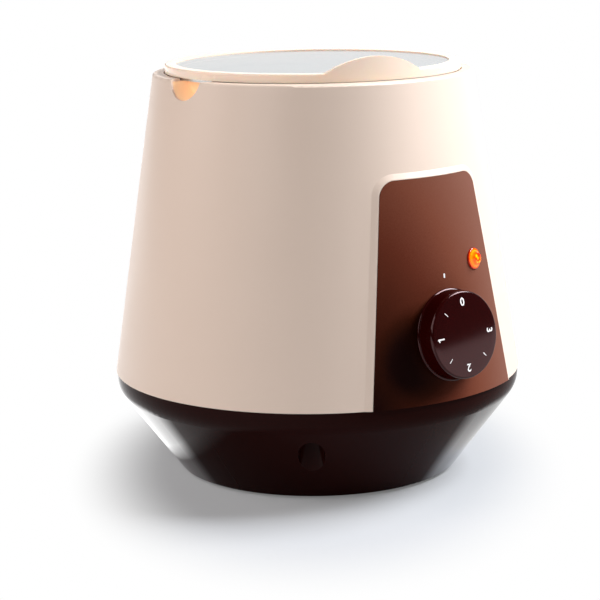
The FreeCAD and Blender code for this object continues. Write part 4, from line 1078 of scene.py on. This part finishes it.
def stroke(size, turn=0, place=(0, 0)):
    """A short straight stroke as a flat outline, for a tick or a digit's flag."""
    bar = bmesh.new()
    bmesh.ops.create_grid(bar, x_segments=2, y_segments=6, size=0.5)
    bmesh.ops.scale(bar, vec=(size[0] * MM, size[1] * MM, 1), verts=bar.verts)
    move = Matrix.Translation(Vector((*place, 0)) * MM) @ Matrix.Rotation(turn, 4, "Z")
    bmesh.ops.transform(bar, matrix=move, verts=bar.verts)
    return finished_mesh(bar, "outline")


# %% Numbers
NUMBER_SIZE = 5.9
BOLDER = 0.12
FLAG_SIZE = (0.75, 1.7)
FLAG_TURN = math.radians(-48)
FLAG_PLACE = (-0.62, 1.75)

for index, digit in enumerate("0123"):
    letters = bpy.data.curves.new("outline", "FONT")
    letters.body = digit
    letters.size = NUMBER_SIZE * MM
    letters.offset = BOLDER * MM
    letters.resolution_u = 6
    letters.align_x = "CENTER"
    letters.align_y = "CENTER"
    writing = bpy.data.objects.new("outline", letters)
    outline = bpy.data.meshes.new_from_object(writing)
    shape = printed_on_knob(outline, index * QUARTER_TURN)
    bpy.data.objects.remove(writing)
    if digit == "1":
        flag = printed_on_knob(stroke(FLAG_SIZE, FLAG_TURN, FLAG_PLACE), index * QUARTER_TURN)
        shape.from_mesh(finished_mesh(flag, "flag"))
    number = smooth_object(f"number_{digit}", shape, knob_place, print_white, "knob_train")

# %% Ticks
TICK_SIZE = (0.42, 2.8)

for index in range(3):
    shape = printed_on_knob(stroke(TICK_SIZE), (index + 0.5) * QUARTER_TURN)
    tick = smooth_object(f"tick_{index + 1}", shape, knob_place, print_white, "knob_train")

# %% [markdown]
# ### Index mark
#
# The mark that the knob is set against is a short upright bar with rounded ends, printed on the
# panel right over the knob. Its foot is let into the panel, so only a film stands out.

# %% Index mark
MARK_HEIGHT = 0.1229
MARK_SIZE = (1.0, 2.4, 0.3)
MARK_ROUND = 0.45
PANEL_OUT = 1.3


def place_on_panel(height, azimuth=0.0):
    """The place on the panel's surface at a height, with Z pointing out of it."""
    radius = SEAM_RADIUS - (height - SEAM_HEIGHT) * SKIN_LEAN
    turned = Matrix.Rotation(azimuth, 4, "Z") @ Matrix.Translation((0, -radius, height))
    return turned @ STAND_OFF_SKIN @ Matrix.Translation((0, 0, PANEL_OUT * MM))


shape = bmesh.new()
bmesh.ops.create_cube(shape, size=1)
bmesh.ops.scale(shape, vec=Vector(MARK_SIZE) * MM, verts=shape.verts)
bmesh.ops.translate(shape, vec=(0, 0, (FILM - MARK_SIZE[2] / 2) * MM), verts=shape.verts)
uprights = [e for e in shape.edges if abs(e.verts[0].co.z - e.verts[1].co.z) > 0.1 * MM]
soften(shape, uprights, MARK_ROUND, 4)
mark_place = place_on_panel(MARK_HEIGHT)
mark = smooth_object("index_mark", shape, mark_place, print_white, "root")

# %% [markdown]
# ### Pilot lens
#
# The lens is cut amber plastic with a small lamp behind it: a rounded flange, a ring of twelve
# facets and a table. Light that enters the facets comes out as yellow spots in the orange, and
# the rim stays deep red. The colour is read from the distance to the lens's own axis, which a
# Mapping node turns into the Z axis, and part of it is given off as light.

# %% Lens
LAMP_HEIGHT = 0.1284
LAMP_AZIMUTH = math.radians(13.8)
FACETS = 12
CUT_RADIUS = 4.7
TABLE_RADIUS = 2.9
CUT_HEIGHT = 2.1
FLANGE_RADIUS = 5.75
FLANGE_HEIGHT = 1.0
BARREL_RADIUS = 3.6
BARREL_END = -3.0
FLANGE_ROUND = 0.6
TABLE_INSET = 0.9
TABLE_RISE = 0.2

shape = bmesh.new()
bmesh.ops.create_cone(
    shape,
    cap_ends=True,
    segments=FACETS,
    radius1=CUT_RADIUS * MM,
    radius2=TABLE_RADIUS * MM,
    depth=CUT_HEIGHT * MM,
)
lift = (FLANGE_HEIGHT + CUT_HEIGHT / 2) * MM
bmesh.ops.translate(shape, vec=(0, 0, lift), verts=shape.verts)
table = max(shape.faces, key=lambda face: face.calc_center_median().z)
bmesh.ops.inset_individual(
    shape, faces=[table], thickness=TABLE_INSET * MM, depth=TABLE_RISE * MM
)
section = [(0, BARREL_END), (BARREL_RADIUS, BARREL_END), (BARREL_RADIUS, 0)]
section += [(FLANGE_RADIUS, 0), (FLANGE_RADIUS, FLANGE_HEIGHT), (0, FLANGE_HEIGHT)]
flange = turn_profile(section, TURN_STEPS // 2)
soften(flange, rings_at(flange, (FLANGE_RADIUS, FLANGE_HEIGHT)), FLANGE_ROUND, 4)
shape.from_mesh(finished_mesh(flange, "flange"))
lens_place = place_on_panel(LAMP_HEIGHT, LAMP_AZIMUTH)
print("lens of", FACETS, "facets at", [round(v, 4) for v in lens_place.translation])

# %% Amber with a lamp behind it
SPARK_SCALE = 420.0
SPARK_COLOUR = (1.0, 0.62, 0.0)
SPARK_SIZE = (0.22, 0.6)
SPARKS_END = (0.35, 0.62)
GLOW = [
    (0.0, (0.95, 0.08, 0.0)),
    (0.40, (0.90, 0.02, 0.0)),
    (0.58, (1.0, 0.09, 0.0)),
    (0.74, (1.0, 0.29, 0.002)),
    (0.86, (0.95, 0.10, 0.0)),
    (1.0, (0.25, 0.003, 0.0)),
]

amber, tree, shader = start_material(
    "lit_amber", Roughness=0.08, Specular_IOR_Level=0.6, Emission_Strength=0.65
)
place = add_node(tree, "ShaderNodeTexCoord")
centre = add_node(tree, "ShaderNodeMapping", vector_type="TEXTURE")
centre.inputs["Location"].default_value = lens_place.translation
centre.inputs["Rotation"].default_value = lens_place.to_euler()
_, flat, away = measure_from_axis(tree, centre, "Vector")
share = rescale(tree, (0.0, FLANGE_RADIUS * MM))
glow = colour_stops(tree, GLOW)
sparks = add_node(tree, "ShaderNodeTexVoronoi", {"Scale": SPARK_SCALE})
spots = rescale(tree, SPARK_SIZE, (1.0, 0.0))
inner = rescale(tree, SPARKS_END, (1.0, 0.0))
lit = add_node(tree, "ShaderNodeMath", operation="MULTIPLY")
colours = two_tones(tree, SPARK_COLOUR, SPARK_COLOUR)
wire(
    tree,
    (place, "Object", centre, "Vector"),
    (away, "Value", share, "Value"),
    (share, "Result", glow, "Fac"),
    (flat, 0, sparks, "Vector"),
    (sparks, "Distance", spots, "Value"),
    (share, "Result", inner, "Value"),
    (spots, "Result", lit, 0),
    (inner, "Result", lit, 1),
    (lit, 0, colours, "Factor"),
    (glow, "Color", colours, "A"),
    (colours, "Result", shader, "Base Color"),
    (colours, "Result", shader, "Emission Color"),
)
lens_piece = smooth_object("cut_lens", shape, lens_place, amber, "root", sharp=12)
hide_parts("pilot_lens")
